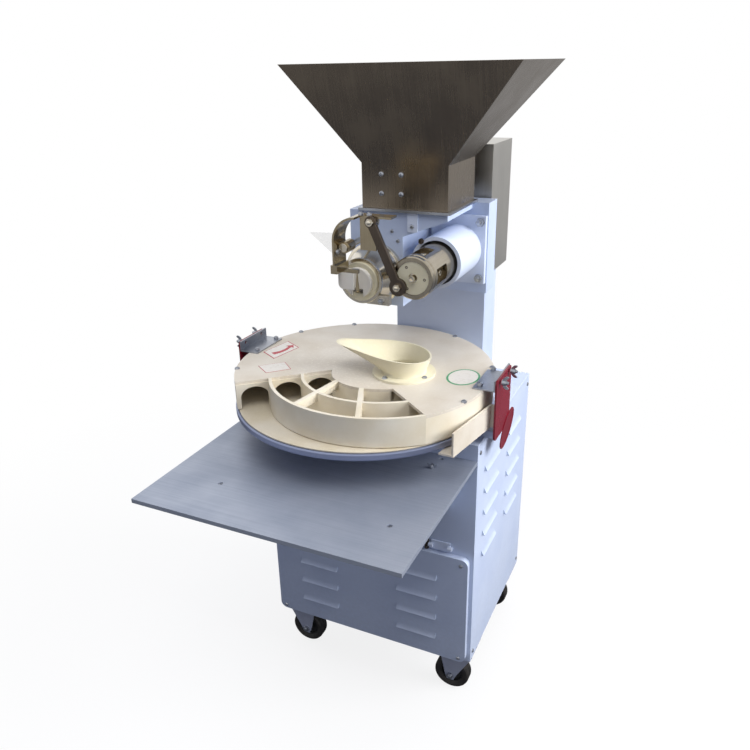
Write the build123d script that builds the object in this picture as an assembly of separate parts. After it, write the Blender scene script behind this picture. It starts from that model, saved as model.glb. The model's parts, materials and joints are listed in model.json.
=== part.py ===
from build123d import *
import os
from math import atan2, cos, degrees, hypot, radians, sin

# Machine frame while building: x to the right, y to the back from the cabinet front, z up from the floor.
# Every length is in millimetres.

# Cabinet
cabinet_width = 505.0
cabinet_depth = 410.0
cabinet_bottom = 124.0
cabinet_height = 563.0
sheet = 2.0
base_thickness = 4.0
top_thickness = 6.0
frame_tube = 25.0
mid_rail_height = 431.0
bridge_thickness = 6.0
bridge_width = 90.0
front_opening_width = 430.0
front_opening_height = 236.0
front_cover_width = 488.0
front_cover_height = 282.0
front_cover_rise = 5.0
front_cover_depth = 14.0
cover_corner_radius = 16.0
louvre_length = 96.0
louvre_height = 13.0
louvre_depth = 7.0
louvre_wall = 1.5
louvre_pitch = 54.0
front_louvre_rows = 4
front_louvre_spread = 250.0
front_louvre_bottom = 52.0
side_louvre_rows = 5
side_louvre_bottom = 262.0
side_louvre_first = 100.0
side_louvre_spread = 178.0
panel_screw_radius = 2.5
panel_screw_inset = 16.0

# Castors
wheel_radius = 42.5
wheel_width = 30.0
axle_radius = 6.0
castor_trail = 12.0
castor_inset_x = 42.5
castor_inset_y = 45.0
castor_plate_size = 84.0
castor_plate_thickness = 4.0
fork_cheek = 4.0
fork_gap = 3.0

# Turntable
turntable_x = -20.0
turntable_gap = 3.0
axle_setback = 44.0
turntable_rise = 55.0
turntable_thickness = 15.0
liner_thickness = 3.0
hub_radius = 55.0
hub_thickness = 12.0
turntable_shaft_radius = 15.0
turntable_pulley_radius = 28.0
bearing_housing_radius = 41.0
bearing_housing_height = 20.0
turntable_belt_length = 191.0
turntable_motor_radius = 55.0
turntable_motor_length = 225.0

# Rounding track over the turntable
track_gap = 2.0
track_inset = 2.0
track_height = 59.0
track_wall = 7.0
cover_thickness = 6.0
inner_channel_radius = 66.0
mouth_margin = 11.0
channel_count = 3
hidden_ring_arcs = 3
sector_start = -138.0
sector_end = -40.0
rib_angles = (-100.0, -67.0)
rib_width = 10.0
rib_depth = 18.0
mouth_height = 46.0
track_screw_angles = (-20.0, 20.0, 64.0, 121.0, 150.0, 206.0)
track_screw_radius = 3.0

# Funnel on the track cover
funnel_offset_x = 94.0
funnel_offset_y = -4.0
funnel_bore = 44.0
funnel_wall = 4.0
funnel_flange_radius = 66.0
funnel_flange_thickness = 5.0
funnel_mouth_radius = 70.0
funnel_height = 36.0
funnel_collar = 12.0
funnel_lip_reach = 151.0
funnel_lip_rise = 30.0
funnel_tip_radius = 27.0
funnel_lip_angle = 14.6

# Brackets that hold the track
bracket_gap = 20.0
bracket_reach = 46.0
bracket_lead = 30.0
bracket_length = 104.0
bracket_sheet = 3.0
bracket_upstand = 20.0
side_plate_thickness = 4.0
side_plate_height = 132.0
arm_height = 18.0
arm_width = 52.0
arm_root = 215.0
wing_bolt_radius = 4.0
wing_span = 26.0

# Exit fence beside the turntable
fence_thickness = 4.0
fence_height = 50.0
fence_floor_width = 26.0
fence_share_x = 0.924
fence_share_y = -0.581
fence_gap = 2.0

# Tray in front of the cabinet
tray_width = 555.0
tray_offset_x = -26.0
tray_depth = 389.0
tray_drop = 36.0
tray_sheet = 2.0
tray_hem = 9.0
tray_bracket_width = 24.0
tray_bracket_reach = 300.0
tray_bracket_drop = 120.0
tray_bracket_bar = 14.0
tray_gusset = 5.0
tray_bracket_spread = 360.0

# Column and drive hood
column_x = 46.0
column_width = 220.0
column_depth = 86.0
column_height = 405.0
column_wall = 3.0
hood_setback = 16.0
hood_overhang = 78.0
hood_drop = 148.0
hood_rise = 141.0
hood_clearance = 0.5
hood_screw_rise = 18.0
hood_screw_pitch = 74.0
lug_offset = 12.0
lug_width = 50.0
lug_drop = 47.0
lug_height = 20.0
lug_thickness = 14.0

# Feed head
auger_offset = -66.0
auger_rise = 68.0
barrel_radius = 43.0
auger_radius = 41.0
auger_core_radius = 16.0
auger_flight = 9.0
auger_turns = 2.5
auger_shaft_radius = 14.0
head_left_reach = 56.0
housing_right_reach = 63.0
gearbox_right_reach = 64.0
housing_length = 156.0
gearbox_depth = 58.0
head_drop = 169.0
head_height = 198.0
gearbox_wall = 22.0
gearbox_rim = 10.0
bearing_radius = 31.0
bearing_width = 16.0
fit = 0.05

# Hopper
neck_width = 186.0
neck_depth = 164.0
flange_thickness = 5.0
flange_margin = 7.0
neck_height = 89.0
hopper_width = 484.0
hopper_overhang = 55.0
hopper_depth = 337.0
hopper_height = 274.0
hopper_rim = 6.0
sleeve_thickness = 3.0
sleeve_height = 76.0
sleeve_gap = 0.2
neck_screw_radius = 3.0
neck_screw_columns = (-49.0, -6.0)
neck_screw_heights = (30.0, 68.0)

# Dough nozzle
nozzle_flange_radius = 65.5
nozzle_length = 73.0
nozzle_mouth_radius = 47.0
nozzle_bore = 24.5
nylon_ring_radius = 40.0
nylon_ring_length = 6.0
nylon_cap_radius = 31.0
cap_reach = 14.5
outlet_width = 24.0

# Crank drum
crank_offset = 66.0
crank_rise = 97.5
crank_plate_width = 123.0
crank_plate_height = 148.0
crank_plate_thickness = 12.0
crank_tube_radius = 53.5
crank_tube_length = 134.0
crank_mouth_radius = 46.0
crank_mouth_depth = 56.0
drum_radius = 42.0
drum_lead = 29.0
drum_length = 159.5
disc_radius = 33.0
disc_depth = 6.0
disc_bore = 9.0
crank_shaft_radius = 15.0
window_width = 30.0
window_start = 26.0
window_length = 52.0
window_depth = 14.0
plate_bolt_radius = 5.0

# Cutter linkage
crank_throw_x = -26.5
crank_throw_z = -17.5
rod_gap = 4.0
rod_thickness = 8.0
rod_width = 17.5
eye_radius = 17.5
rod_end_radius = 12.0
rod_top_offset = 51.0
rod_top_rise = 133.0
rod_pin_radius = 5.0
pivot_offset = -10.5
pivot_rise = 78.5
pivot_radius = 6.0
pivot_hub_radius = 12.0
strap_thickness = 4.0
strap_clearance = 4.5
strap_left_reach = 25.0
strap_rise = 142.5
strap_right_reach = 90.0
strap_bend = 49.0
strap_drop = 113.0
running_gap = 0.3
strap_plate_width = 34.0
strap_band_depth = 50.0
strap_clamp_width = 14.0
strap_clamp_height = 17.0
blade_thickness = 4.0
blade_corner = 12.0
strap_plate_height = 72.0
stud_seat = 12.0
block_width = 35.0
block_height = 35.0
flap_reach = 69.0
flap_height = 59.0
flap_thickness = 2.0
needle_radius = 4.0
needle_length = 34.0

# Belts and drive pulleys
belt_thickness = 5.0
belt_width = 12.0
pulley_flange = 2.0
head_pulley_radius = 26.0
head_pulley_gap = 14.0
lift_pulley_radius = 33.0
lift_motor_pulley_radius = 24.0
lift_pulley_gap = 24.0
head_motor_rise = 75.0
head_motor_radius = 65.0
head_motor_length = 190.0
head_motor_gap = 28.0
motor_foot_height = 22.0
motor_foot_width = 100.0
gearbox_length = 60.0
motor_shaft_radius = 11.0

# Cover latch and cable gland
latch_x = 177.0
latch_width = 44.0
latch_height = 22.0
gland_x = -150.0
gland_rise = 66.0
gland_radius = 11.0

# Places worked out from the sizes above
half_width = cabinet_width / 2
cabinet_top = cabinet_bottom + cabinet_height
frame_side = half_width - sheet
frame_front = sheet
frame_back = cabinet_depth - sheet
frame_low = cabinet_bottom + base_thickness
frame_high = cabinet_top - top_thickness
bridge_low = cabinet_bottom + mid_rail_height
bridge_high = bridge_low + bridge_thickness
cover_foot = cabinet_bottom + front_cover_rise
fork_outer = wheel_width / 2 + fork_gap + fork_cheek
column_front = cabinet_depth - column_depth
column_left = column_x - column_width / 2
column_right = column_x + column_width / 2
column_top = cabinet_top + column_height
hood_front = column_front + hood_setback
hood_back = cabinet_depth + hood_overhang
hood_bottom = column_top - hood_drop
hood_top = column_top + hood_rise
turntable_y = axle_setback
turntable_radius = column_front - turntable_gap - axle_setback
turntable_top = cabinet_top + turntable_rise
turntable_motor_y = turntable_y + turntable_belt_length
disc_top = turntable_top - liner_thickness
disc_bottom = disc_top - turntable_thickness
hub_bottom = disc_bottom - hub_thickness
track_radius = turntable_radius - track_inset
channel_pitch = (track_radius - track_wall / 2 - inner_channel_radius) / channel_count
mouth_width = channel_pitch - mouth_margin
track_low = turntable_top + track_gap
cover_top = track_low + track_height
cover_low = cover_top - cover_thickness
funnel_x = turntable_x + funnel_offset_x
funnel_y = turntable_y + funnel_offset_y
bracket_offset = turntable_radius + bracket_gap
bracket_front = turntable_y - bracket_lead
fence_front_x = turntable_x + turntable_radius * fence_share_x
fence_front_y = turntable_y + turntable_radius * fence_share_y
tray_top = cabinet_top - tray_drop
tray_left = tray_offset_x - tray_width / 2
tray_right = tray_offset_x + tray_width / 2
auger_x = column_x + auger_offset
crank_x = column_x + crank_offset
head_left = auger_x - head_left_reach
housing_right = auger_x + housing_right_reach
gearbox_right = crank_x + gearbox_right_reach
gearbox_front = column_front - gearbox_depth
head_front = gearbox_front - housing_length
head_bottom = column_top - head_drop
head_top = head_bottom + head_height
auger_z = head_bottom + auger_rise
crank_z = head_bottom + crank_rise
neck_low = head_top + flange_thickness
neck_high = neck_low + neck_height
neck_left = column_x - neck_width / 2
neck_right = column_x + neck_width / 2
neck_front = head_front
neck_back = neck_front + neck_depth
hopper_front = neck_front - hopper_overhang
hopper_top = neck_low + hopper_height
nozzle_front = head_front - nozzle_length
nylon_cap_front = nozzle_front - cap_reach
crank_plate_front = gearbox_front - crank_plate_thickness
crank_tube_front = crank_plate_front - crank_tube_length
drum_front = nylon_cap_front - drum_lead
drum_back = drum_front + drum_length
crank_pin_x = crank_x + crank_throw_x
crank_pin_z = crank_z + crank_throw_z
rod_back = drum_front - rod_gap
rod_front = rod_back - rod_thickness
rod_top_x = auger_x + rod_top_offset
rod_top_z = auger_z + rod_top_rise
pivot_x = auger_x + pivot_offset
pivot_z = auger_z + pivot_rise
strap_front = rod_back + running_gap
strap_back = nylon_cap_front - strap_clearance
strap_left = auger_x - strap_left_reach
strap_right = auger_x + strap_right_reach
strap_top = auger_z + strap_rise
strap_bottom = strap_top - strap_drop
head_pulley_y = cabinet_depth + head_pulley_gap
lift_pulley_y = column_front + lift_pulley_gap
head_motor_z = frame_low + head_motor_rise
head_motor_back = lift_pulley_y - head_motor_gap
head_motor_front = head_motor_back - head_motor_length
gland_z = cabinet_bottom + gland_rise


# Basic solids by their limits
def block(x0, x1, y0, y1, z0, z1):
    return Pos((x0 + x1) / 2, (y0 + y1) / 2, (z0 + z1) / 2) * Box(x1 - x0, y1 - y0, z1 - z0)


def bar_x(y, z, radius, x0, x1):
    return Pos((x0 + x1) / 2, y, z) * Rot(0, 90, 0) * Cylinder(radius, x1 - x0)


def bar_y(x, z, radius, y0, y1):
    return Pos(x, (y0 + y1) / 2, z) * Rot(90, 0, 0) * Cylinder(radius, y1 - y0)


def bar_z(x, y, radius, z0, z1):
    return Pos(x, y, (z0 + z1) / 2) * Cylinder(radius, z1 - z0)


def outline(*points):
    return make_face(Polyline(*points, close=True))


def level_plate(shape, z0, z1):
    return Pos(0, 0, z0) * extrude(shape, z1 - z0)


def front_plate(shape, y0, y1):
    # The shape is drawn with x across and z up.
    return Pos(0, y1, 0) * Rot(90, 0, 0) * extrude(shape, y1 - y0)


def side_plate(shape, x0, x1):
    # The shape is drawn with y across and z up.
    return Pos(x0, 0, 0) * extrude(Plane.YZ * shape, x1 - x0)


def turned_y(x, z, *points):
    # The points are pairs of radius and y.
    return Pos(x, 0, z) * revolve(outline(*points), Axis.Y)


def turned_z(x, y, *points):
    # The points are pairs of radius and z.
    return Pos(x, y, 0) * revolve(Plane.XZ * outline(*points), Axis.Z)


def polar(radius, angle):
    return (radius * cos(radians(angle)), radius * sin(radians(angle)))


def dome_screw_y(x, z, radius, seat, tip, facing):
    # A round-headed screw along y, whose head stands on the seat towards the facing side.
    head = bar_y(x, z, radius * 1.9, *sorted((seat, seat + facing * radius)))
    return head + bar_y(x, z, radius, *sorted((seat, tip)))


def dome_screw_x(y, z, radius, seat, tip, facing):
    head = bar_x(y, z, radius * 1.9, *sorted((seat, seat + facing * radius)))
    return head + bar_x(y, z, radius, *sorted((seat, tip)))


def flush_screw_z(x, y, radius, face, seat, tip):
    return bar_z(x, y, radius * 1.9, seat, face) + bar_z(x, y, radius, tip, seat)


def dome_screw_z(x, y, radius, seat, tip):
    return bar_z(x, y, radius * 1.9, seat, seat + radius) + bar_z(x, y, radius, tip, seat)


# Louvres, pressed outwards from a panel that faces the front
def louvre_hood(x, z, face):
    profile = outline((face, z), (face, z + louvre_height), (face - louvre_depth, z))
    return side_plate(profile, x - louvre_length / 2, x + louvre_length / 2)


def louvre_throat(x, z, face):
    inner_top = z + louvre_height - 2 * louvre_wall
    inner_front = face - louvre_depth + 2 * louvre_wall
    profile = outline((face + sheet, z), (face + sheet, inner_top), (face, inner_top), (inner_front, z))
    half = louvre_length / 2 - louvre_wall
    return side_plate(profile, x - half, x + half)


def louvred(panel, places, face):
    hoods = [louvre_hood(x, z, face) for x, z in places]
    throats = [louvre_throat(x, z, face) for x, z in places]
    return panel + hoods - throats


# Cabinet pieces
def make_cabinet_frame():
    left_post = -frame_side
    right_post = frame_side - frame_tube
    back_post = frame_back - frame_tube
    pieces = []
    for x in (left_post, right_post):
        for y in (frame_front, back_post):
            pieces.append(block(x, x + frame_tube, y, y + frame_tube, frame_low, frame_high))
        for z in (frame_low, bridge_low - frame_tube, frame_high - frame_tube):
            pieces.append(block(x, x + frame_tube, frame_front, frame_back, z, z + frame_tube))
    for y in (frame_front, back_post):
        for z in (frame_low, frame_high - frame_tube):
            pieces.append(block(-frame_side, frame_side, y, y + frame_tube, z, z + frame_tube))
    for y in (turntable_y, turntable_motor_y):
        low_y = max(frame_front, y - bridge_width / 2)
        pieces.append(block(-frame_side, frame_side, low_y, y + bridge_width / 2, bridge_low, bridge_high))
    frame = pieces[0] + pieces[1:]
    frame -= bar_z(turntable_x, turntable_y, turntable_shaft_radius + 2, bridge_low, bridge_high)
    frame -= bar_z(turntable_x, turntable_motor_y, motor_shaft_radius + 3, bridge_low, bridge_high)
    return frame


def make_cabinet_shell():
    front = block(-half_width, half_width, 0, sheet, frame_low, frame_high)
    opening_low = cover_foot + (front_cover_height - front_opening_height) / 2
    half_opening = front_opening_width / 2
    front -= block(-half_opening, half_opening, 0, sheet, opening_low, opening_low + front_opening_height)
    side = block(-cabinet_depth / 2, cabinet_depth / 2, 0, sheet, frame_low, frame_high)
    places = []
    for column in range(2):
        for row in range(side_louvre_rows):
            along = side_louvre_first + column * side_louvre_spread - cabinet_depth / 2
            places.append((along, cabinet_bottom + side_louvre_bottom + row * louvre_pitch))
    side = louvred(side, places, 0)
    right = Pos(half_width, cabinet_depth / 2, 0) * Rot(0, 0, 90) * side
    left = Pos(-half_width, cabinet_depth / 2, 0) * Rot(0, 0, -90) * side
    return front + right + left


def make_front_cover():
    middle = Pos(0, cover_foot + front_cover_height / 2)
    outer = middle * RectangleRounded(front_cover_width, front_cover_height, cover_corner_radius)
    inner = middle * RectangleRounded(front_cover_width - 2 * sheet, front_cover_height - 2 * sheet,
                                      cover_corner_radius - sheet)
    face = -front_cover_depth
    cover = front_plate(outer, face, 0) - front_plate(inner, face + sheet, 0)
    places = []
    for x in (-front_louvre_spread / 2, front_louvre_spread / 2):
        for row in range(front_louvre_rows):
            places.append((x, cover_foot + front_louvre_bottom + row * louvre_pitch))
    return louvred(cover, places, face)


def cover_screw_places():
    inset = front_cover_width / 2 - panel_screw_inset
    low = cover_foot + panel_screw_inset - 6
    high = cover_foot + front_cover_height - panel_screw_inset
    return [(x, z) for x in (-inset, inset) for z in (low, high)]


def back_screw_places():
    inset = half_width - panel_screw_inset
    return [(x, z) for x in (-inset, inset) for z in (frame_low + 17, frame_high - 17)]


def panel_screw_solids(radius):
    screws = []
    for x, z in cover_screw_places():
        screws.append(dome_screw_y(x, z, radius, -front_cover_depth, frame_front + 12, -1))
    for x, z in back_screw_places():
        screws.append(dome_screw_y(x, z, radius, cabinet_depth, frame_back - 12, 1))
    for facing in (-1, 1):
        for y in (panel_screw_inset, cabinet_depth - panel_screw_inset):
            for z in (frame_low + 17, frame_high - 17):
                seat = facing * half_width
                tip = facing * (frame_side - 12)
                screws.append(dome_screw_x(y, z, radius, seat, tip, facing))
    return screws


# Castors
def castor_places():
    x = half_width - castor_inset_x
    return {
        "front_left": (-x, castor_inset_y, castor_trail),
        "front_right": (x, castor_inset_y, -castor_trail),
        "rear_left": (-x, cabinet_depth - castor_inset_y, castor_trail),
        "rear_right": (x, cabinet_depth - castor_inset_y, -castor_trail),
    }


plate_low = cabinet_bottom - castor_plate_thickness
crown_low = plate_low - 12
crown_top = plate_low - running_gap


def castor_plate(x, y):
    half = castor_plate_size / 2
    plate = block(x - half, x + half, y - half, y + half, plate_low, cabinet_bottom)
    return plate


def castor_fork(x, y, trail, top):
    crown = bar_z(x, y, castor_plate_size / 2 - 6, crown_low, top)
    half_crown = castor_plate_size / 2 - 2
    foot = axle_radius + 7
    shape = outline(
        (x - half_crown, crown_low + 4), (x + half_crown, crown_low + 4),
        (x + trail + foot, wheel_radius), (x + trail + foot * 0.6, wheel_radius - foot),
        (x + trail - foot * 0.6, wheel_radius - foot), (x + trail - foot, wheel_radius))
    inner = fork_outer - fork_cheek
    cheeks = [front_plate(shape, y + inner, y + fork_outer), front_plate(shape, y - fork_outer, y - inner)]
    axle = bar_y(x + trail, wheel_radius, axle_radius, y - fork_outer - 3, y + fork_outer + 3)
    return crown + cheeks + axle


def castor_wheel(x, y, trail):
    half = wheel_width / 2
    bevel = 4.0
    bore = axle_radius + fit
    wheel = turned_y(
        x + trail, wheel_radius, (bore, -half), (wheel_radius - bevel, -half), (wheel_radius, -half + bevel),
        (wheel_radius, half - bevel), (wheel_radius - bevel, half), (bore, half))
    return Pos(0, y, 0) * wheel


# Turntable and its drive
def pulley_z(x, y, radius, bore, low):
    high = low + belt_width + 2
    rim = radius + 1
    return turned_z(
        x, y, (bore, low - pulley_flange), (rim, low - pulley_flange), (rim, low), (radius, low),
        (radius, high), (rim, high), (rim, high + pulley_flange), (bore, high + pulley_flange))


def pulley_y(x, z, radius, bore, front):
    back = front + belt_width + 2
    rim = radius + 1
    return turned_y(
        x, z, (bore, front - pulley_flange), (rim, front - pulley_flange), (rim, front), (radius, front),
        (radius, back), (rim, back), (rim, back + pulley_flange), (bore, back + pulley_flange))


def belt_loop(first, first_radius, second, second_radius):
    def around(extra):
        circles = [Pos(*first) * Circle(first_radius + extra), Pos(*second) * Circle(second_radius + extra)]
        return make_hull([edge for circle in circles for edge in circle.edges()])
    return around(fit + belt_thickness) - around(fit)


lower_bearing_low = bridge_high
lower_bearing_high = lower_bearing_low + bearing_housing_height
turntable_pulley_low = lower_bearing_high + 8


def make_turntable():
    radius = turntable_radius
    bore = turntable_shaft_radius + fit
    return turned_z(
        turntable_x, turntable_y, (bore, hub_bottom), (hub_radius, hub_bottom), (hub_radius, disc_bottom),
        (radius - 3, disc_bottom), (radius, disc_bottom + 3), (radius, disc_top - 2), (radius - 2, disc_top),
        (bore, disc_top))


def make_turntable_liner():
    return bar_z(turntable_x, turntable_y, turntable_radius - 5, disc_top, turntable_top)


def make_turntable_shaft():
    shaft = bar_z(turntable_x, turntable_y, turntable_shaft_radius, bridge_low - 8, disc_top)
    pulley = pulley_z(turntable_x, turntable_y, turntable_pulley_radius, turntable_shaft_radius + fit,
                      turntable_pulley_low)
    return Compound([shaft, pulley])


def bearing_housing_z(low):
    housing = bar_z(turntable_x, turntable_y, bearing_housing_radius, low, low + bearing_housing_height)
    return housing - bar_z(turntable_x, turntable_y, turntable_shaft_radius + fit, low, low + bearing_housing_height)


def make_turntable_belt():
    loop = belt_loop((turntable_x, turntable_y), turntable_pulley_radius,
                     (turntable_x, turntable_motor_y), turntable_pulley_radius)
    return level_plate(loop, turntable_pulley_low + 1, turntable_pulley_low + 1 + belt_width)


def make_turntable_motor():
    low = bridge_low - turntable_motor_length
    neck = bridge_low - 40
    motor = turned_z(
        turntable_x, turntable_motor_y, (0, low), (turntable_motor_radius - 10, low),
        (turntable_motor_radius - 10, neck - 8), (turntable_motor_radius, neck),
        (turntable_motor_radius, bridge_low), (0, bridge_low))
    return motor - bar_z(turntable_x, turntable_motor_y, motor_shaft_radius + fit, bridge_low - 30, bridge_low)


def make_turntable_motor_pulley():
    top = turntable_pulley_low + belt_width + 2 + pulley_flange
    pulley = pulley_z(turntable_x, turntable_motor_y, turntable_pulley_radius, motor_shaft_radius - 1,
                      turntable_pulley_low)
    return pulley + bar_z(turntable_x, turntable_motor_y, motor_shaft_radius, bridge_low - 29, top)


# Rounding track: three channels, round under the cover and stepping outwards by one pitch in the open sector
def on_turntable(shape):
    return Pos(turntable_x, turntable_y, 0) * shape


ring_radii = [inner_channel_radius + i * channel_pitch for i in range(channel_count + 1)]
sector_sweep = sector_end - sector_start
covered_sweep = 360 - sector_sweep


def ring_arcs(radius, count):
    sweep = covered_sweep / count
    arcs = []
    for i in range(count):
        start = sector_end + i * sweep
        outer = CenterArc((0, 0), radius + track_wall / 2, start, sweep)
        inner = CenterArc((0, 0), radius - track_wall / 2, start, sweep)
        arcs.append(make_face([outer, inner, Line(outer @ 0, inner @ 0), Line(outer @ 1, inner @ 1)]))
    return arcs


def spiral_edge(start_radius, offset):
    count = 8
    points = []
    for i in range(count + 1):
        share = i / count
        radius = start_radius + channel_pitch * share + offset
        points.append(polar(radius, sector_start + sector_sweep * share))
    return Spline(points)


def spiral_wall(start_radius):
    outer = spiral_edge(start_radius, track_wall / 2)
    inner = spiral_edge(start_radius, -track_wall / 2)
    return make_face([outer, inner, Line(outer @ 0, inner @ 0), Line(outer @ 1, inner @ 1)])


def mouth_cut(radius):
    spring = mouth_height - mouth_width / 2 * 0.75
    shape = Pos(radius, track_low + spring / 2) * Rectangle(mouth_width, spring)
    shape += Pos(radius, track_low + spring) * Ellipse(mouth_width / 2, mouth_width / 2 * 0.75)
    return front_plate(shape, -track_wall, track_wall)


def make_rounding_track():
    last = len(ring_radii) - 1
    covered_arcs = ring_arcs(ring_radii[last], 1)
    for radius in ring_radii[:last]:
        covered_arcs += ring_arcs(radius, hidden_ring_arcs)
    covered = [level_plate(arc, track_low, cover_low) for arc in covered_arcs]
    inner_spiral = level_plate(spiral_wall(ring_radii[0]), track_low, cover_low)
    open_walls = [level_plate(spiral_wall(r), track_low, cover_top) for r in ring_radii[1:last]]
    mouth_wall = block(inner_channel_radius - track_wall / 2, track_radius, -track_wall / 2, track_wall / 2,
                       track_low, cover_low)
    for i in range(channel_count):
        mouth_wall -= mouth_cut((ring_radii[i] + ring_radii[i + 1]) / 2)
    mouth_wall = Rot(0, 0, sector_start) * mouth_wall
    start_wall = block(ring_radii[0], ring_radii[1], -track_wall / 2, track_wall / 2, track_low, cover_low)
    start_wall = Rot(0, 0, sector_end + 4) * start_wall
    ribs = []
    for angle in rib_angles:
        share = (angle - sector_start) / sector_sweep
        near = ring_radii[0] + channel_pitch * share + track_wall / 2 - 1
        far = ring_radii[last - 1] + channel_pitch * share
        rib = block(near, far, -rib_width / 2, rib_width / 2, cover_top - rib_depth, cover_top)
        ribs.append(Rot(0, 0, angle) * rib)
    crossing = [mouth_wall, start_wall] + ribs
    keep = Pos(0, 0, (track_low + cover_top) / 2) * Cylinder(track_radius, track_height)
    lid = level_plate(cover_shape(), cover_low, cover_top)
    strips = []
    for wall in covered + open_walls + [inner_spiral]:
        for piece in crossing:
            wall -= piece
        strips.append(wall)
    pieces = []
    for strip in strips + crossing:
        strip = (strip & keep) - lid
        for screw in track_screw_solids(track_screw_radius + fit):
            strip -= screw
        pieces.extend(on_turntable(strip).solids())
    return Compound(pieces)


def cover_shape():
    wedge = outline((0, 0), polar(track_radius * 2, sector_start),
                    polar(track_radius * 3, (sector_start + sector_end) / 2), polar(track_radius * 2, sector_end))
    edge = spiral_edge(ring_radii[0], track_wall / 2)
    centre = make_face([edge, Line(edge @ 1, (0, 0)), Line((0, 0), edge @ 0)])
    return Circle(track_radius) - wedge + centre


def track_screw_solids(radius):
    ring = track_radius - track_wall / 2
    return [dome_screw_z(*polar(ring, angle), radius, cover_top, cover_low - 14) for angle in track_screw_angles]


def make_track_cover():
    bore = Pos(funnel_x - turntable_x, funnel_y - turntable_y) * Circle(funnel_bore)
    cover = level_plate(cover_shape() - bore, cover_low, cover_top)
    for screw in track_screw_solids(track_screw_radius + fit):
        cover -= screw
    cover = on_turntable(cover)
    for screw in funnel_screw_solids(track_screw_radius + fit):
        cover -= screw
    return cover


# Funnel with a long lip under the nozzle
def funnel_outline(shrink):
    points = []
    for angle in range(0, 360, 18):
        at_tip = cos(radians(angle)) < -0.2
        middle = funnel_tip_radius - funnel_lip_reach if at_tip else 0.0
        x, y = polar((funnel_tip_radius if at_tip else funnel_mouth_radius) - shrink, angle)
        points.append((middle + x, y))
    return make_face(Spline(points, periodic=True))


def funnel_body(bottom_radius, shrink, low, high):
    ring = [polar(bottom_radius, angle) for angle in range(0, 360, 18)]
    ring = make_face(Spline(ring, periodic=True))
    bowl = loft([Pos(0, 0, low) * ring, Pos(0, 0, high) * funnel_outline(shrink)])
    return bowl + level_plate(ring, cover_top, low)


def funnel_screw_solids(radius):
    seat = cover_top + funnel_flange_thickness
    ring = funnel_flange_radius - 9
    screws = []
    for angle in (-125, -35, 55, 145):
        x, y = polar(ring, angle + funnel_lip_angle)
        screws.append(dome_screw_z(funnel_x + x, funnel_y + y, radius, seat, cover_low))
    return screws


def make_funnel():
    high = cover_top + funnel_height + funnel_lip_rise + 4
    low = cover_top + funnel_collar
    outer = funnel_body(funnel_bore + funnel_wall, 0, low, high)
    inner = funnel_body(funnel_bore, funnel_wall, low, high)
    flange = Pos(0, 0, cover_top + funnel_flange_thickness / 2) * Cylinder(funnel_flange_radius, funnel_flange_thickness)
    slope = degrees(atan2(funnel_lip_rise, funnel_lip_reach + funnel_mouth_radius))
    span = 2 * (funnel_lip_reach + funnel_mouth_radius)
    lid = Pos(-span / 4, 0, span / 4) * Box(span, span, span / 2)
    lid = Pos(funnel_mouth_radius, 0, cover_top + funnel_height) * Rot(0, slope, 0) * lid
    body = (outer - lid) + flange - inner
    body = Pos(funnel_x, funnel_y, 0) * Rot(0, 0, funnel_lip_angle) * body
    for screw in funnel_screw_solids(track_screw_radius + fit):
        body -= screw
    return body


# Brackets, side plates and arms that hold the track over the turntable
bracket_back = bracket_front + bracket_length
bracket_outer = bracket_offset
side_plate_top = cover_top + bracket_sheet + bracket_upstand
side_plate_low = side_plate_top - side_plate_height
wing_bolt_z = cover_top + bracket_sheet + bracket_upstand / 2 + 2
wing_bolt_ys = (bracket_front + 20, bracket_back - 20)


def mirrored_about_turntable(make):
    right = make(1)
    left = make(-1)
    return Compound([right, left])


def at_side(facing, near, far):
    # Limits across the machine at one side of the turntable axis, measured outwards.
    return sorted((turntable_x + facing * near, turntable_x + facing * far))


def cover_bracket(facing):
    shelf = block(*at_side(facing, bracket_outer - bracket_reach, bracket_outer), bracket_front, bracket_back,
                  cover_top, cover_top + bracket_sheet)
    upstand = block(*at_side(facing, bracket_outer - bracket_sheet, bracket_outer), bracket_front, bracket_back,
                    cover_top, side_plate_top)
    bracket = shelf + upstand
    for y in wing_bolt_ys:
        bracket -= bar_x(y, wing_bolt_z, wing_bolt_radius + fit,
                         *at_side(facing, bracket_outer - bracket_sheet, bracket_outer))
    return bracket


def side_plate_piece(facing):
    shape = Pos((bracket_front + bracket_back) / 2, (side_plate_low + side_plate_top) / 2) * RectangleRounded(
        bracket_length, side_plate_height, 10)
    plate = side_plate(shape, *at_side(facing, bracket_outer, bracket_outer + side_plate_thickness))
    for y in wing_bolt_ys:
        plate -= bar_x(y, wing_bolt_z, wing_bolt_radius + fit,
                       *at_side(facing, bracket_outer, bracket_outer + side_plate_thickness))
    return plate


def bracket_arm(facing):
    middle = (bracket_front + bracket_back) / 2
    inner = facing * arm_root
    outer = turntable_x + facing * bracket_outer
    return block(*sorted((inner, outer)), middle - arm_width / 2, middle + arm_width / 2,
                 cabinet_top, cabinet_top + arm_height)


def wing_nut(facing, y):
    seat = bracket_outer + side_plate_thickness
    nut = bar_x(y, wing_bolt_z, wing_bolt_radius + 4, *at_side(facing, seat, seat + 7))
    wings = block(*at_side(facing, seat + 4, seat + 13), y - wing_span / 2, y + wing_span / 2,
                  wing_bolt_z - 1.5, wing_bolt_z + 1.5)
    shank = bar_x(y, wing_bolt_z, wing_bolt_radius, *at_side(facing, bracket_outer - bracket_sheet - 6, seat + 10))
    head = bar_x(y, wing_bolt_z, wing_bolt_radius + 3,
                 *at_side(facing, bracket_outer - bracket_sheet - 6, bracket_outer - bracket_sheet))
    return nut + wings + shank + head


def make_wing_nuts():
    return Compound([wing_nut(facing, y) for facing in (-1, 1) for y in wing_bolt_ys])


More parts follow.
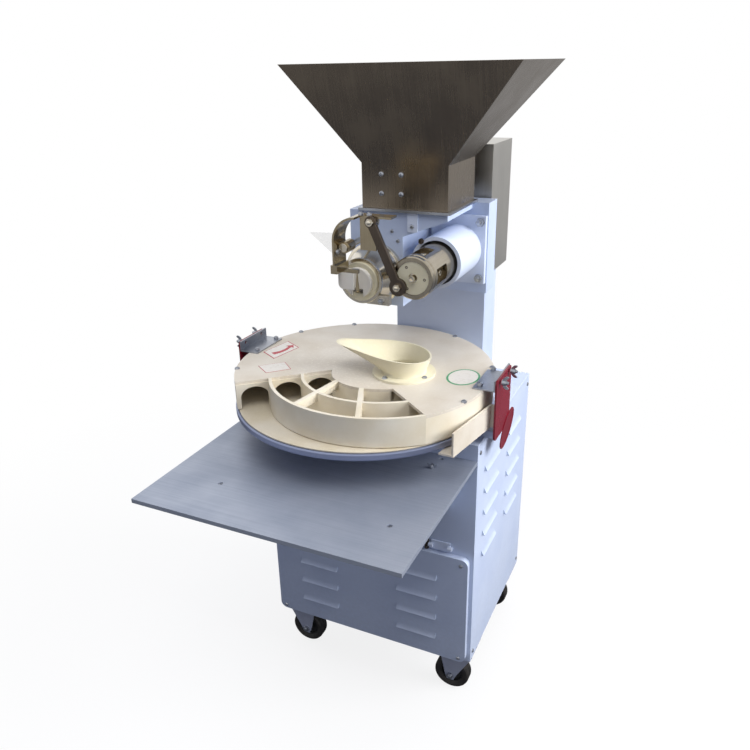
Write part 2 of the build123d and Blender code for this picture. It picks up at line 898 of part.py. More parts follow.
def make_exit_fence():
    side = turntable_x + bracket_outer
    corner_x = side - 14
    corner_y = bracket_front + 16
    along = hypot(corner_x - fence_front_x, corner_y - fence_front_y)
    shift_x = fence_thickness * (corner_y - fence_front_y) / along
    shift_y = -fence_thickness * (corner_x - fence_front_x) / along
    front = (fence_front_x, fence_front_y)
    low = disc_bottom - fence_gap - fence_thickness
    wall = outline(front, (corner_x, corner_y), (corner_x, corner_y + fence_thickness),
                   (side - fence_thickness, corner_y + fence_thickness), (side - fence_thickness, corner_y + 40),
                   (side, corner_y + 40), (side, corner_y), (corner_x + shift_x, corner_y),
                   (fence_front_x + shift_x, fence_front_y + shift_y))
    floor = outline((fence_front_x - fence_floor_width, fence_front_y), (corner_x - fence_floor_width, corner_y),
                    (corner_x + shift_x, corner_y), (fence_front_x + shift_x, fence_front_y + shift_y))
    return level_plate(wall, low, low + fence_height) + level_plate(floor, low, low + fence_thickness)


# Tray
def make_tray():
    low = tray_top - tray_sheet
    tray = block(tray_left, tray_right, -tray_depth, 0, low, tray_top)
    hem_low = tray_top - tray_hem
    tray += block(tray_left, tray_left + tray_sheet, -tray_depth, 0, hem_low, tray_top)
    tray += block(tray_right - tray_sheet, tray_right, -tray_depth, 0, hem_low, tray_top)
    tray += block(tray_left, tray_right, -tray_depth, -tray_depth + tray_sheet, hem_low, tray_top)
    for screw in tray_screw_solids(panel_screw_radius + fit):
        tray -= screw
    return tray


def tray_screw_solids(radius):
    xs = (-tray_bracket_spread / 2, tray_bracket_spread / 2)
    seat = tray_top - tray_sheet
    return [flush_screw_z(x, y, radius, tray_top, seat, seat - tray_bracket_bar + 4)
            for x in xs for y in (-18, -tray_bracket_reach + 24)]


def tray_bracket(x):
    low = tray_top - tray_sheet
    half = tray_bracket_width / 2
    gusset = outline((0, low), (-tray_bracket_reach, low), (-14, low - tray_bracket_drop), (0, low - tray_bracket_drop))
    bracket = block(x - half, x + half, -tray_bracket_reach, 0, low - tray_bracket_bar, low)
    bracket += side_plate(gusset, x - tray_gusset / 2, x + tray_gusset / 2)
    for screw in tray_screw_solids(panel_screw_radius + fit):
        bracket -= screw
    return bracket


def make_tray_brackets():
    return Compound([tray_bracket(x) for x in (-tray_bracket_spread / 2, tray_bracket_spread / 2)])


# Column, feed head and hopper
def make_column():
    column = block(column_left, column_right, column_front, cabinet_depth, cabinet_top, column_top)
    column -= block(column_left + column_wall, column_right - column_wall, column_front + column_wall,
                    cabinet_depth - column_wall, cabinet_top, column_top)
    column -= bar_y(auger_x, auger_z, auger_shaft_radius + 3, column_front, cabinet_depth)
    column -= bar_y(crank_x, crank_z, crank_shaft_radius + 3, column_front, cabinet_depth)
    for screw in hood_screw_solids(panel_screw_radius + fit):
        column -= screw
    return column


hood_left = column_left - hood_clearance - sheet
hood_right = column_right + hood_clearance + sheet
hood_screw_y = hood_front + 12
hood_screw_zs = (hood_bottom + hood_screw_rise, hood_bottom + hood_screw_rise + hood_screw_pitch)


def hood_screw_solids(radius):
    screws = []
    for z in hood_screw_zs:
        screws.append(dome_screw_x(hood_screw_y, z, radius, hood_right, column_right - column_wall, 1))
        screws.append(dome_screw_x(hood_screw_y, z, radius, hood_left, column_left + column_wall, -1))
    return screws


def make_gear_hood():
    hood = block(hood_left, hood_right, hood_front, hood_back, hood_bottom, hood_top)
    hood -= block(hood_left + sheet, hood_right - sheet, hood_front + sheet, hood_back - sheet,
                  hood_bottom, hood_top - sheet)
    hood -= block(hood_left + sheet, hood_right - sheet, hood_front, hood_front + sheet,
                  hood_bottom, column_top + hood_clearance)
    for screw in hood_screw_solids(panel_screw_radius + fit):
        hood -= screw
    return hood


def plate_bolt_places():
    across = crank_plate_width / 2 - 12
    up = crank_plate_height / 2 - 13
    return [(crank_x + i * across, crank_z + j * up) for i in (-1, 1) for j in (-1, 1)]


def plate_bolt_solids(radius):
    bolts = []
    tip = gearbox_front + gearbox_wall - 5
    for x, z in plate_bolt_places():
        head = Pos(0, crank_plate_front, 0) * Rot(90, 0, 0) * extrude(RegularPolygon(radius * 1.9, 6), radius * 1.4)
        bolts.append(Pos(x, 0, z) * head + bar_y(x, z, radius, crank_plate_front, tip))
    return bolts


def make_head_casting():
    slope_start = head_top - 13
    front_shape = outline((head_left, head_bottom), (head_left, head_top), (neck_right, head_top),
                          (neck_right, slope_start), (housing_right, head_top - 50), (housing_right, head_bottom))
    casting = front_plate(front_shape, head_front, gearbox_front)
    casting += block(head_left, gearbox_right, gearbox_front, column_front, head_bottom, head_top)
    throat = outline((neck_left + 6, head_top), (neck_right - 10, head_top), (neck_right - 10, head_top - 4),
                     (housing_right - 8, head_top - 38), (auger_x + barrel_radius - 4, auger_z),
                     (auger_x - barrel_radius + 4, auger_z))
    casting -= front_plate(throat, head_front + 14, gearbox_front - 10)
    casting -= bar_y(auger_x, auger_z, barrel_radius, head_front, gearbox_front - 6)
    casting -= bar_y(auger_x, auger_z, auger_shaft_radius + 2, head_front, column_front)
    casting -= bar_y(auger_x, auger_z, bearing_radius + fit, gearbox_front + gearbox_wall - bearing_width, column_front)
    casting -= bar_y(crank_x, crank_z, crank_shaft_radius + 2, gearbox_front, column_front)
    casting -= block(head_left + gearbox_rim, gearbox_right - gearbox_rim, gearbox_front + gearbox_wall, column_front,
                     head_bottom + gearbox_rim, head_top - gearbox_rim)
    casting -= crank_plate()
    for bolt in plate_bolt_solids(plate_bolt_radius + fit):
        casting -= bolt
    return casting - bar_y(pivot_x, pivot_z, pivot_radius + fit, head_front, head_front + stud_seat)


def crank_plate():
    half_w = crank_plate_width / 2
    half_h = crank_plate_height / 2
    return block(crank_x - half_w, crank_x + half_w, crank_plate_front, gearbox_front,
                 crank_z - half_h, crank_z + half_h)


def make_crank_housing():
    housing = crank_plate() + bar_y(crank_x, crank_z, crank_tube_radius, crank_tube_front, crank_plate_front)
    housing -= bar_y(crank_x, crank_z, bearing_radius + fit, crank_tube_front, gearbox_front)
    housing -= bar_y(crank_x, crank_z, crank_mouth_radius, crank_tube_front, crank_tube_front + crank_mouth_depth)
    for bolt in plate_bolt_solids(plate_bolt_radius + fit):
        housing -= bolt
    return housing


def bearing_y(x, z, bore, front):
    ring = bar_y(x, z, bearing_radius, front, front + bearing_width)
    return ring - bar_y(x, z, bore + fit, front, front + bearing_width)


def make_head_bearings():
    crank_front = crank_tube_front + crank_mouth_depth
    return Compound([
        bearing_y(auger_x, auger_z, auger_shaft_radius, gearbox_front + gearbox_wall - bearing_width),
        bearing_y(crank_x, crank_z, crank_shaft_radius, crank_front + 4),
        bearing_y(crank_x, crank_z, crank_shaft_radius, gearbox_front - bearing_width)])


def neck_screw_solids(radius):
    screws = []
    for side, facing in ((neck_front, -1), (neck_back, 1)):
        tip = side - facing * (sheet + sleeve_gap + sleeve_thickness)
        for offset in neck_screw_columns:
            for height in neck_screw_heights:
                screws.append(dome_screw_y(column_x + offset, neck_low + height, radius, side, tip, facing))
    return screws


def make_hopper_flange():
    plate = block(neck_left - flange_margin, neck_right + flange_margin, neck_front - flange_margin,
                  neck_back + flange_margin, head_top, neck_low)
    inset = sheet + sleeve_gap
    sleeve = block(neck_left + inset, neck_right - inset, neck_front + inset, neck_back - inset,
                   neck_low, neck_low + sleeve_height)
    bore = inset + sleeve_thickness
    flange = plate + sleeve - block(neck_left + bore, neck_right - bore, neck_front + bore + 8, neck_back - bore - 12,
                                    head_top, neck_low + sleeve_height)
    for screw in neck_screw_solids(neck_screw_radius + fit):
        flange -= screw
    return flange


def hopper_cone(shrink):
    top_y = hopper_front + hopper_depth / 2
    neck_y = neck_front + neck_depth / 2
    wide = hopper_width - 2 * (hopper_rim + shrink)
    deep = hopper_depth - 2 * (hopper_rim + shrink)
    low = Pos(column_x, neck_y, neck_high) * Rectangle(neck_width - 2 * shrink, neck_depth - 2 * shrink)
    return loft([low, Pos(column_x, top_y, hopper_top) * Rectangle(wide, deep)], ruled=True)


def make_hopper():
    rim_y = hopper_front + hopper_depth / 2
    rim = Pos(column_x, rim_y, hopper_top - sheet / 2) * Box(hopper_width, hopper_depth, sheet)
    neck = block(neck_left, neck_right, neck_front, neck_back, neck_low, neck_high)
    inside = block(neck_left + sheet, neck_right - sheet, neck_front + sheet, neck_back - sheet, neck_low, neck_high)
    hopper = hopper_cone(0) + rim + neck - inside - hopper_cone(sheet)
    for screw in neck_screw_solids(neck_screw_radius + fit):
        hopper -= screw
    return hopper


# Auger and dough nozzle
def make_auger():
    length = gearbox_front - 10 - head_front
    section = Circle(auger_core_radius) + (Rectangle(2 * auger_radius, auger_flight) & Circle(auger_radius))
    screw = Solid.extrude_linear_with_rotation(section.face(), (0, 0, 0), (0, 0, length), 360 * auger_turns / 2)
    screw = Pos(auger_x, head_front + length, auger_z) * Rot(90, 0, 0) * screw
    end = head_pulley_y + belt_width + 2 + pulley_flange
    shaft = bar_y(auger_x, auger_z, auger_shaft_radius, gearbox_front - 12, end)
    pulley = pulley_y(auger_x, auger_z, head_pulley_radius, auger_shaft_radius + fit, head_pulley_y)
    return Compound([screw + shaft, pulley])


def make_nozzle_body():
    flange_back = head_front
    throat = nozzle_bore + 6
    body = turned_y(
        auger_x, auger_z, (throat, flange_back), (nozzle_flange_radius, flange_back),
        (nozzle_flange_radius, flange_back - 10), (nozzle_flange_radius - 5, flange_back - 12),
        (nozzle_mouth_radius - 3, nozzle_front + 9), (nozzle_mouth_radius, nozzle_front + 8),
        (nozzle_mouth_radius, nozzle_front), (nozzle_bore, nozzle_front))
    lug_left = auger_x + lug_offset
    lug_front = nozzle_front + 2
    lug = block(lug_left, lug_left + lug_width, lug_front, lug_front + lug_thickness,
                auger_z - lug_drop, auger_z - lug_drop + lug_height)
    lug -= turned_y(auger_x, auger_z, (0, nozzle_front), (nozzle_mouth_radius - 6, nozzle_front),
                    (nozzle_mouth_radius - 6, nozzle_front + 20), (0, nozzle_front + 20))
    return body + lug


def make_nozzle_ring():
    return turned_y(
        auger_x, auger_z, (nozzle_bore, nozzle_front), (nylon_ring_radius, nozzle_front),
        (nylon_ring_radius, nozzle_front - nylon_ring_length + 1), (nylon_ring_radius - 1, nozzle_front - nylon_ring_length),
        (nozzle_bore, nozzle_front - nylon_ring_length))


def make_nozzle_cap():
    back = nozzle_front - nylon_ring_length
    cap = turned_y(
        auger_x, auger_z, (0, nylon_cap_front), (nylon_cap_radius - 2, nylon_cap_front),
        (nylon_cap_radius, nylon_cap_front + 2), (nylon_cap_radius, back), (nozzle_bore, back),
        (nozzle_bore, nylon_cap_front + 3), (0, nylon_cap_front + 3))
    # Dough leaves downwards through a slot in the cap.
    return cap - block(auger_x - outlet_width / 2, auger_x + outlet_width / 2, nylon_cap_front, back,
                       auger_z - nylon_cap_radius, auger_z - outlet_width / 2)


# Crank drum
def make_crank_drum():
    front = drum_front
    bore = crank_shaft_radius + fit
    drum = turned_y(
        crank_x, crank_z, (bore, front + disc_depth), (disc_radius, front + disc_depth), (disc_radius, front),
        (drum_radius - 2, front), (drum_radius, front + 2), (drum_radius, front + 10), (drum_radius - 2, front + 12),
        (drum_radius - 2, front + 15), (drum_radius, front + 17), (drum_radius, drum_back), (bore, drum_back))
    start = front + window_start
    half = window_width / 2
    side_floor = crank_x + drum_radius - window_depth
    top_floor = crank_z + drum_radius - window_depth
    drum -= block(side_floor, crank_x + drum_radius, start, start + window_length, crank_z - half, crank_z + half)
    drum -= block(crank_x - half, crank_x + half, start, start + window_length, top_floor, crank_z + drum_radius)
    for bolt in drum_bolt_solids(fit):
        drum -= bolt
    return drum


def drum_bolt_solids(extra):
    # One socket bolt on the floor of each window.
    y = drum_front + window_start + window_length * 0.62
    side_floor = crank_x + drum_radius - window_depth
    top_floor = crank_z + drum_radius - window_depth
    side = bar_x(y, crank_z, 6 + extra, side_floor, side_floor + 8) + bar_x(y, crank_z, 3.5 + extra, side_floor - 7, side_floor)
    top = bar_z(crank_x, y, 6 + extra, top_floor, top_floor + 8) + bar_z(crank_x, y, 3.5 + extra, top_floor - 7, top_floor)
    return [side, top]


def make_crank_disc():
    radius = disc_radius - 0.2
    disc = bar_y(crank_x, crank_z, radius, drum_front + 1, drum_front + disc_depth)
    return disc - bar_y(crank_x, crank_z, disc_bore, drum_front + 1, drum_front + disc_depth)


def make_crank_shaft():
    end = head_pulley_y + belt_width + 2 + pulley_flange
    stub = bar_y(crank_x, crank_z, disc_bore - 2, drum_front + 3, drum_front + disc_depth)
    shaft = bar_y(crank_x, crank_z, crank_shaft_radius, drum_front + disc_depth, end) + stub
    bore = crank_shaft_radius + fit
    return Compound([
        shaft,
        pulley_y(crank_x, crank_z, head_pulley_radius, bore, head_pulley_y),
        pulley_y(crank_x, crank_z, lift_pulley_radius, bore, lift_pulley_y)])


def make_head_belt():
    loop = belt_loop((auger_x, auger_z), head_pulley_radius, (crank_x, crank_z), head_pulley_radius)
    return front_plate(loop, head_pulley_y + 1, head_pulley_y + 1 + belt_width)


def make_lift_belt():
    loop = belt_loop((crank_x, crank_z), lift_pulley_radius, (crank_x, head_motor_z), lift_motor_pulley_radius)
    return front_plate(loop, lift_pulley_y + 1, lift_pulley_y + 1 + belt_width)


def make_head_motor():
    step = head_motor_back - gearbox_length - 10
    motor = turned_y(
        crank_x, head_motor_z, (0, head_motor_front), (head_motor_radius - 12, head_motor_front),
        (head_motor_radius - 12, step), (head_motor_radius, step + 10), (head_motor_radius, head_motor_back),
        (0, head_motor_back))
    half = motor_foot_width / 2
    foot = block(crank_x - half, crank_x + half, step + 10, head_motor_back, frame_low,
                 frame_low + motor_foot_height)
    motor = motor + foot
    return motor - bar_y(crank_x, head_motor_z, motor_shaft_radius + fit, head_motor_back - 30, head_motor_back)


def make_head_motor_pulley():
    end = lift_pulley_y + belt_width + 2 + pulley_flange
    pulley = pulley_y(crank_x, head_motor_z, lift_motor_pulley_radius, motor_shaft_radius - 1, lift_pulley_y)
    return pulley + bar_y(crank_x, head_motor_z, motor_shaft_radius, head_motor_back - 29, end)


def make_top_plate():
    plate = block(-half_width, half_width, 0, cabinet_depth, frame_high, cabinet_top)
    plate -= bar_z(turntable_x, turntable_y, turntable_shaft_radius + 2, frame_high, cabinet_top)
    slot = lift_pulley_radius + belt_thickness + 8
    return plate - block(crank_x - slot, column_right - column_wall, lift_pulley_y - 8, lift_pulley_y + belt_width + 10,
                         frame_high, cabinet_top)


# Cutter linkage
def make_cutter_rod():
    dx = rod_top_x - crank_pin_x
    dz = rod_top_z - crank_pin_z
    middle = Pos((rod_top_x + crank_pin_x) / 2, (rod_top_z + crank_pin_z) / 2)
    arm = middle * Rot(0, 0, degrees(atan2(dz, dx))) * Rectangle(hypot(dx, dz), rod_width)
    shape = arm + Pos(crank_pin_x, crank_pin_z) * Circle(eye_radius) + Pos(rod_top_x, rod_top_z) * Circle(rod_end_radius)
    shape -= Pos(crank_pin_x, crank_pin_z) * Circle(rod_pin_radius + fit)
    shape -= Pos(rod_top_x, rod_top_z) * Circle(rod_pin_radius + fit)
    return front_plate(shape, rod_front, rod_back)


def make_rod_bolts():
    head = 6.0
    crank_end = drum_front - running_gap
    eye = bar_y(crank_pin_x, crank_pin_z, rod_pin_radius, rod_front, crank_end)
    eye += bar_y(crank_pin_x, crank_pin_z, rod_pin_radius + 4, rod_front - head, rod_front)
    eye += bar_y(crank_pin_x, crank_pin_z, rod_pin_radius + 5, rod_back, crank_end)
    ear_back = strap_front + strap_thickness * 2
    top = bar_y(rod_top_x, rod_top_z, rod_pin_radius, rod_front, ear_back)
    top += bar_y(rod_top_x, rod_top_z, rod_pin_radius + 3, rod_front - head, rod_front)
    return Compound([eye, top])


def make_cutter_strap():
    flat = Pos((strap_left + strap_bend + strap_right) / 2, strap_top - strap_thickness / 2) * Rectangle(
        strap_right - strap_left - strap_bend, strap_thickness)
    centre = (strap_left + strap_bend, strap_top - strap_bend)
    quarter = Pos(centre[0] - strap_bend / 2, centre[1] + strap_bend / 2) * Rectangle(strap_bend, strap_bend)
    bend = (Pos(*centre) * (Circle(strap_bend) - Circle(strap_bend - strap_thickness))) & quarter
    leg_height = strap_top - strap_bend - strap_bottom
    leg = Pos(strap_left + strap_thickness / 2, strap_bottom + leg_height / 2) * Rectangle(strap_thickness, leg_height)
    strap = front_plate(flat, strap_front, strap_back)
    strap += front_plate(bend + leg, strap_back - strap_band_depth, strap_back)
    clamp_left = strap_left - (strap_clamp_width - strap_thickness) / 2
    strap += block(clamp_left, clamp_left + strap_clamp_width, strap_back - strap_band_depth, strap_back,
                   strap_bottom, strap_bottom + strap_clamp_height)
    needle_x = strap_left + block_width + needle_radius + 2
    strap += block(strap_left, needle_x + needle_radius, strap_front - 2, strap_front + 4,
                   strap_bottom, strap_bottom + 8)
    tip = strap_bottom - needle_length
    strap += Pos(needle_x, strap_front + 1, tip + needle_length / 2) * Cone(
        needle_radius, needle_radius * 0.3, needle_length)
    strap += Pos(needle_x, strap_front + 1, tip) * Sphere(needle_radius)
    hub = Pos(pivot_x, pivot_z) * Circle(pivot_hub_radius)
    web_width = pivot_x - strap_left
    hub += Pos(strap_left + web_width / 2, pivot_z) * Rectangle(web_width, pivot_hub_radius * 1.5)
    strap += front_plate(hub, strap_front, strap_back)
    plate_left = pivot_x + pivot_hub_radius * 2
    strap += block(plate_left, plate_left + strap_plate_width, strap_back - strap_thickness, strap_back,
                   strap_top - strap_plate_height, strap_top)
    ear = Pos(rod_top_x, rod_top_z) * Circle(rod_end_radius)
    ear += Pos(rod_top_x, (rod_top_z + strap_top) / 2) * Rectangle(rod_end_radius * 2, strap_top - rod_top_z)
    ear = ear & (Pos(rod_top_x, strap_top - rod_end_radius * 2) * Rectangle(rod_end_radius * 4, rod_end_radius * 4))
    strap += front_plate(ear, strap_front, strap_front + strap_thickness * 2)
    strap -= bar_y(pivot_x, pivot_z, pivot_radius + fit, strap_front, strap_back)
    return strap - bar_y(rod_top_x, rod_top_z, rod_pin_radius + fit, strap_front, strap_back)


def make_rocker_stud():
    stud = bar_y(pivot_x, pivot_z, pivot_radius, strap_front, head_front + stud_seat)
    stud += bar_y(pivot_x, pivot_z, pivot_radius + 3, strap_front - 5, strap_front - running_gap)
    stud += bar_y(pivot_x, pivot_z, pivot_radius, strap_front - 5, strap_front)
    return stud + bar_y(pivot_x, pivot_z, pivot_radius + 3, strap_back + running_gap, strap_back + 8)


def make_cutter_block():
    low = strap_bottom - block_height
    shape = Pos(strap_left + block_width / 2, (low + strap_bottom) / 2) * Rectangle(block_width, block_height)
    corner = shape.vertices().sort_by(Axis.X)[:2].sort_by(Axis.Y)[:1]
    blade = fillet(corner, blade_corner)
    return front_plate(blade, strap_front - 2, strap_front - 2 + blade_thickness)


def make_side_flap():
    high = pivot_z + flap_height / 2 - 5
    shape = outline((strap_left, high), (strap_left - flap_reach, high - 3), (strap_left, strap_bottom + strap_clamp_height))
    middle = (strap_front + strap_back) / 2
    return front_plate(shape, middle - flap_thickness / 2, middle + flap_thickness / 2)


# Latch on the front and gland at the back
def make_cover_latch():
    low = cover_foot + front_cover_height + 4
    half = latch_width / 2
    plate = block(latch_x - half, latch_x + half, -3, 0, low, low + latch_height)
    for x in (latch_x - half, latch_x + half):
        plate += bar_x(-5, low + latch_height / 2, 5, x - 5, x + 5)
    return plate


def make_cable_gland():
    body = bar_y(gland_x, gland_z, gland_radius, frame_back - 8, cabinet_depth + 12)
    nut = Pos(gland_x, cabinet_depth + 5, gland_z) * Rot(90, 0, 0) * extrude(RegularPolygon(gland_radius + 4, 6), 5)
    return body + nut - bar_y(gland_x, gland_z, gland_radius - 5, frame_back - 8, cabinet_depth + 12)


def make_back_panel():
    panel = block(-frame_side, frame_side, frame_back, cabinet_depth, frame_low, frame_high)
    return panel - bar_y(gland_x, gland_z, gland_radius + fit, frame_back, cabinet_depth)


# Screw holes through the cabinet pieces
def drilled(piece):
    for screw in panel_screw_solids(panel_screw_radius + fit):
        piece -= screw
    return piece


def make_parts():
    castors = castor_places()
    rear = [name for name in castors if name.startswith("rear")]
    front = [name for name in castors if name.startswith("front")]
    parts = {
        "cabinet_frame": drilled(make_cabinet_frame()),
        "cabinet_shell": drilled(make_cabinet_shell()),
        "base_plate": block(-half_width, half_width, 0, cabinet_depth, cabinet_bottom, frame_low),
        "top_plate": make_top_plate(),
        "front_cover": drilled(make_front_cover()),
        "back_panel": drilled(make_back_panel()),
        "panel_screws": Compound(panel_screw_solids(panel_screw_radius) + tray_screw_solids(panel_screw_radius)),
        "cover_latch": make_cover_latch(),
        "cable_gland": make_cable_gland(),
        "column": make_column(),
        "gear_hood": make_gear_hood(),
        "head_casting": make_head_casting(),
        "crank_housing": make_crank_housing(),
        "head_bearings": make_head_bearings(),
        "head_bolts": Compound(plate_bolt_solids(plate_bolt_radius) + hood_screw_solids(panel_screw_radius)
                               + neck_screw_solids(neck_screw_radius)),
        "hopper_flange": make_hopper_flange(),
        "hopper": make_hopper(),
        "auger": make_auger(),
        "nozzle_body": make_nozzle_body(),
        "nozzle_ring": make_nozzle_ring(),
        "nozzle_cap": make_nozzle_cap(),
        "crank_drum": make_crank_drum(),
        "crank_disc": make_crank_disc(),
        "crank_shaft": make_crank_shaft(),
        "drum_bolts": Compound(drum_bolt_solids(0)),
        "head_belt": make_head_belt(),
        "lift_belt": make_lift_belt(),
        "gearmotors": Compound([make_head_motor(), make_turntable_motor()]),
        "head_motor_pulley": make_head_motor_pulley(),
        "cutter_rod": make_cutter_rod(),
        "rod_bolts": make_rod_bolts(),
        "cutter_strap": make_cutter_strap(),
        "rocker_stud": make_rocker_stud(),
        "cutter_block": make_cutter_block(),
        "side_flap": make_side_flap(),
        "turntable": make_turntable(),
        "turntable_liner": make_turntable_liner(),
        "turntable_shaft": make_turntable_shaft(),
        "turntable_bearings": Compound([bearing_housing_z(lower_bearing_low), bearing_housing_z(cabinet_top)]),
        "turntable_belt": make_turntable_belt(),
        "turntable_motor_pulley": make_turntable_motor_pulley(),
        "rounding_track": make_rounding_track(),
        "track_cover": make_track_cover(),
        "track_screws": Compound([on_turntable(screw) for screw in track_screw_solids(track_screw_radius)]
                                 + funnel_screw_solids(track_screw_radius)),
        "funnel": make_funnel(),
        "cover_brackets": mirrored_about_turntable(cover_bracket),
        "side_plates": mirrored_about_turntable(side_plate_piece),
        "bracket_arms": mirrored_about_turntable(bracket_arm),
        "wing_nuts": make_wing_nuts(),
        "exit_fence": make_exit_fence(),
        "tray": make_tray(),
        "tray_brackets": make_tray_brackets(),
        "castor_plates": Compound([castor_plate(x, y) for x, y, trail in castors.values()]),
        "rear_forks": Compound([castor_fork(*castors[name], plate_low) for name in rear]),
    }
    for name in front:
        x, y, trail = castors[name]
        parts["fork_" + name] = castor_fork(x, y, trail, crown_top)
    for name, (x, y, trail) in castors.items():
        parts["wheel_" + name] = castor_wheel(x, y, trail)
    return parts


# The finished machine has its origin on the floor, at the middle of its overall box.
def main():
    parts = make_parts()
    box = Compound(list(parts.values())).bounding_box()
    shift = Pos(-(box.min.X + box.max.X) / 2, -(box.min.Y + box.max.Y) / 2, -box.min.Z)
    os.makedirs("parts", exist_ok=True)
    for name, shape in parts.items():
        export_step(shift * shape, "parts/" + name + ".step")
    print("pieces", len(parts), "size", box.size, "shift", shift.position)


main()
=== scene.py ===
# %% [markdown]
# # A bun forming machine
# Dough goes into the hopper, an auger pushes it through the nozzle, a swinging cutter chops it, and the
# pieces are rolled round between a turntable and the covered track above it. The solids of all these
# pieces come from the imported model. This lesson gives each piece its edges, its small fittings and its
# real finish.

# %% Load the frame
import json
import math

import bmesh
import bpy
from mathutils import Matrix, Vector


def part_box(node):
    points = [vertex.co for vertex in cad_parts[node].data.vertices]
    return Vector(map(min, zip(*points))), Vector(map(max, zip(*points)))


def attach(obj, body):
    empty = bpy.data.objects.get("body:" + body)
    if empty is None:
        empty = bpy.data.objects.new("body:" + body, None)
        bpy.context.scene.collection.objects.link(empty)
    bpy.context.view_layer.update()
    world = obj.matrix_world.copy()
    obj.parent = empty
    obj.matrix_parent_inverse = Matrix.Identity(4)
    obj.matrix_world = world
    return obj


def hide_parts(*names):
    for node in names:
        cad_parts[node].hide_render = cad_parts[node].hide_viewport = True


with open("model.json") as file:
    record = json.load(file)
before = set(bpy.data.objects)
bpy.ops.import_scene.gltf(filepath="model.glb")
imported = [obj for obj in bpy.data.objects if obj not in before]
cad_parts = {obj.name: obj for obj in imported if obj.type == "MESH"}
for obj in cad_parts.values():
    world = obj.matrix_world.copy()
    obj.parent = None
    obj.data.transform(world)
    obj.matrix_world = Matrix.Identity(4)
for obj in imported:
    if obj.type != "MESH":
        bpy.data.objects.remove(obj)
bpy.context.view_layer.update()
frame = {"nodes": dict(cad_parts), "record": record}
cad_nodes = frame["nodes"]
scene = bpy.context.scene
MM = 0.001

# %% [markdown]
# ## Camera
# The photographer stood at the right of the machine, with the camera level with the hopper's rim. A camera
# can be aimed with a Track To constraint, but a matrix made from three directions says exactly where it
# looks, and lets it lean by the degree or so that a hand-held picture does.

# %% Camera
view_turn = math.radians(25.5)
view_dip = math.radians(22.9)
view_lean = math.radians(-1.2)
lens_pixels = 738.7
picture_width = 750
sensor_width = 36
eye = Vector((651.0, -1318.0, 1399.1)) * MM
toward_eye = Vector((math.sin(view_turn) * math.cos(view_dip), -math.cos(view_turn) * math.cos(view_dip),
                     math.sin(view_dip)))
level_right = Vector((math.cos(view_turn), math.sin(view_turn), 0))
level_up = toward_eye.cross(level_right)
lean_right = math.cos(view_lean) * level_right + math.sin(view_lean) * level_up
lean_up = math.cos(view_lean) * level_up - math.sin(view_lean) * level_right
camera = bpy.data.objects.new("camera", bpy.data.cameras.new("camera"))
scene.collection.objects.link(camera)
camera.matrix_world = Matrix((lean_right, lean_up, toward_eye)).transposed().to_4x4()
camera.matrix_world.translation = eye
camera.data.sensor_width = sensor_width
camera.data.lens = sensor_width * lens_pixels / picture_width
scene.camera = camera
print("lens", round(camera.data.lens, 2), "mm")

# %% [markdown]
# ## One way to add nodes
# Finishes, the world and the repeated fittings are all node trees. One small function adds a node, sets its
# settings and fills its inputs: an input gets a number or a colour, or a link when it is given a socket or a
# whole node, whose first output then counts. A second function turns a colour code into linear light.

# %% Node helper and colours
def add_node(tree, kind, inputs=None, **settings):
    node = tree.nodes.new(kind)
    for name, value in settings.items():
        setattr(node, name, value)
    for key, value in (inputs or {}).items():
        if isinstance(value, bpy.types.Node):
            value = value.outputs[0]
        if isinstance(value, bpy.types.NodeSocket):
            tree.links.new(value, node.inputs[key])
        else:
            node.inputs[key].default_value = value
    return node


def linear(code):
    shares = [int(code[i:i + 2], 16) / 255 for i in (1, 3, 5)]
    return [s / 12.92 if s <= 0.04045 else ((s + 0.055) / 1.055) ** 2.4 for s in shares] + [1.0]


print("mid grey is", round(linear("#808080")[0], 3), "in linear light")

# %% [markdown]
# ## Light
# In the photograph the machine stands beside a window at its right: right-hand sides are bright, tops fade
# from right to left, and the cabinet's front lies in the tray's blue shade. So the world is a room, pale
# towards the right, the back wall and the ceiling and dim elsewhere. To the camera, in bare metal and
# through clear pieces it is plain white, as the photograph's background is. Metal that leans down shows the
# grey floor instead, and so the hopper is dark.

# %% World
# Each opening has its axis, how far a ray must lean that way to see it, to see it fully, and its brightness
window = ("X", 0.15, 0.9, 1.0)
ceiling = ("Z", 0.25, 1.0, 0.7)
back_wall = ("Y", 0.2, 0.9, 0.9)
world = bpy.data.worlds.new("room_with_window")
scene.world = world
world.use_nodes = True
sky = world.node_tree
sky_place = add_node(sky, "ShaderNodeTexCoord").outputs["Object"]
heading = add_node(sky, "ShaderNodeSeparateXYZ", {0: sky_place}).outputs
openings = []
for axis, start, full, brightness in (window, ceiling, back_wall):
    opening = add_node(sky, "ShaderNodeMapRange",
                       {"Value": heading[axis], 1: start, 2: full, 3: 0.0, 4: brightness})
    openings.append(opening)
open_share = openings[0]
for opening in openings[1:]:
    open_share = add_node(sky, "ShaderNodeMath", {0: open_share, 1: opening}, operation="MAXIMUM")
room = add_node(sky, "ShaderNodeMix", {0: open_share, 6: linear("#2f3a5a"), 7: linear("#f4f6ff")},
                data_type="RGBA")
ray = add_node(sky, "ShaderNodeLightPath").outputs
seen = ray["Is Camera Ray"]
for kind in ("Is Glossy Ray", "Is Transmission Ray"):
    seen = add_node(sky, "ShaderNodeMath", {0: seen, 1: ray[kind]}, operation="MAXIMUM")
backdrop = add_node(sky, "ShaderNodeMix", {0: seen, 6: room.outputs[2], 7: linear("#ffffff")},
                    data_type="RGBA")
sky.links.new(backdrop.outputs[2], sky.nodes["Background"].inputs["Color"])
scene.view_settings.view_transform = "Standard"
print("the world is white to the camera and lights the machine as a room")

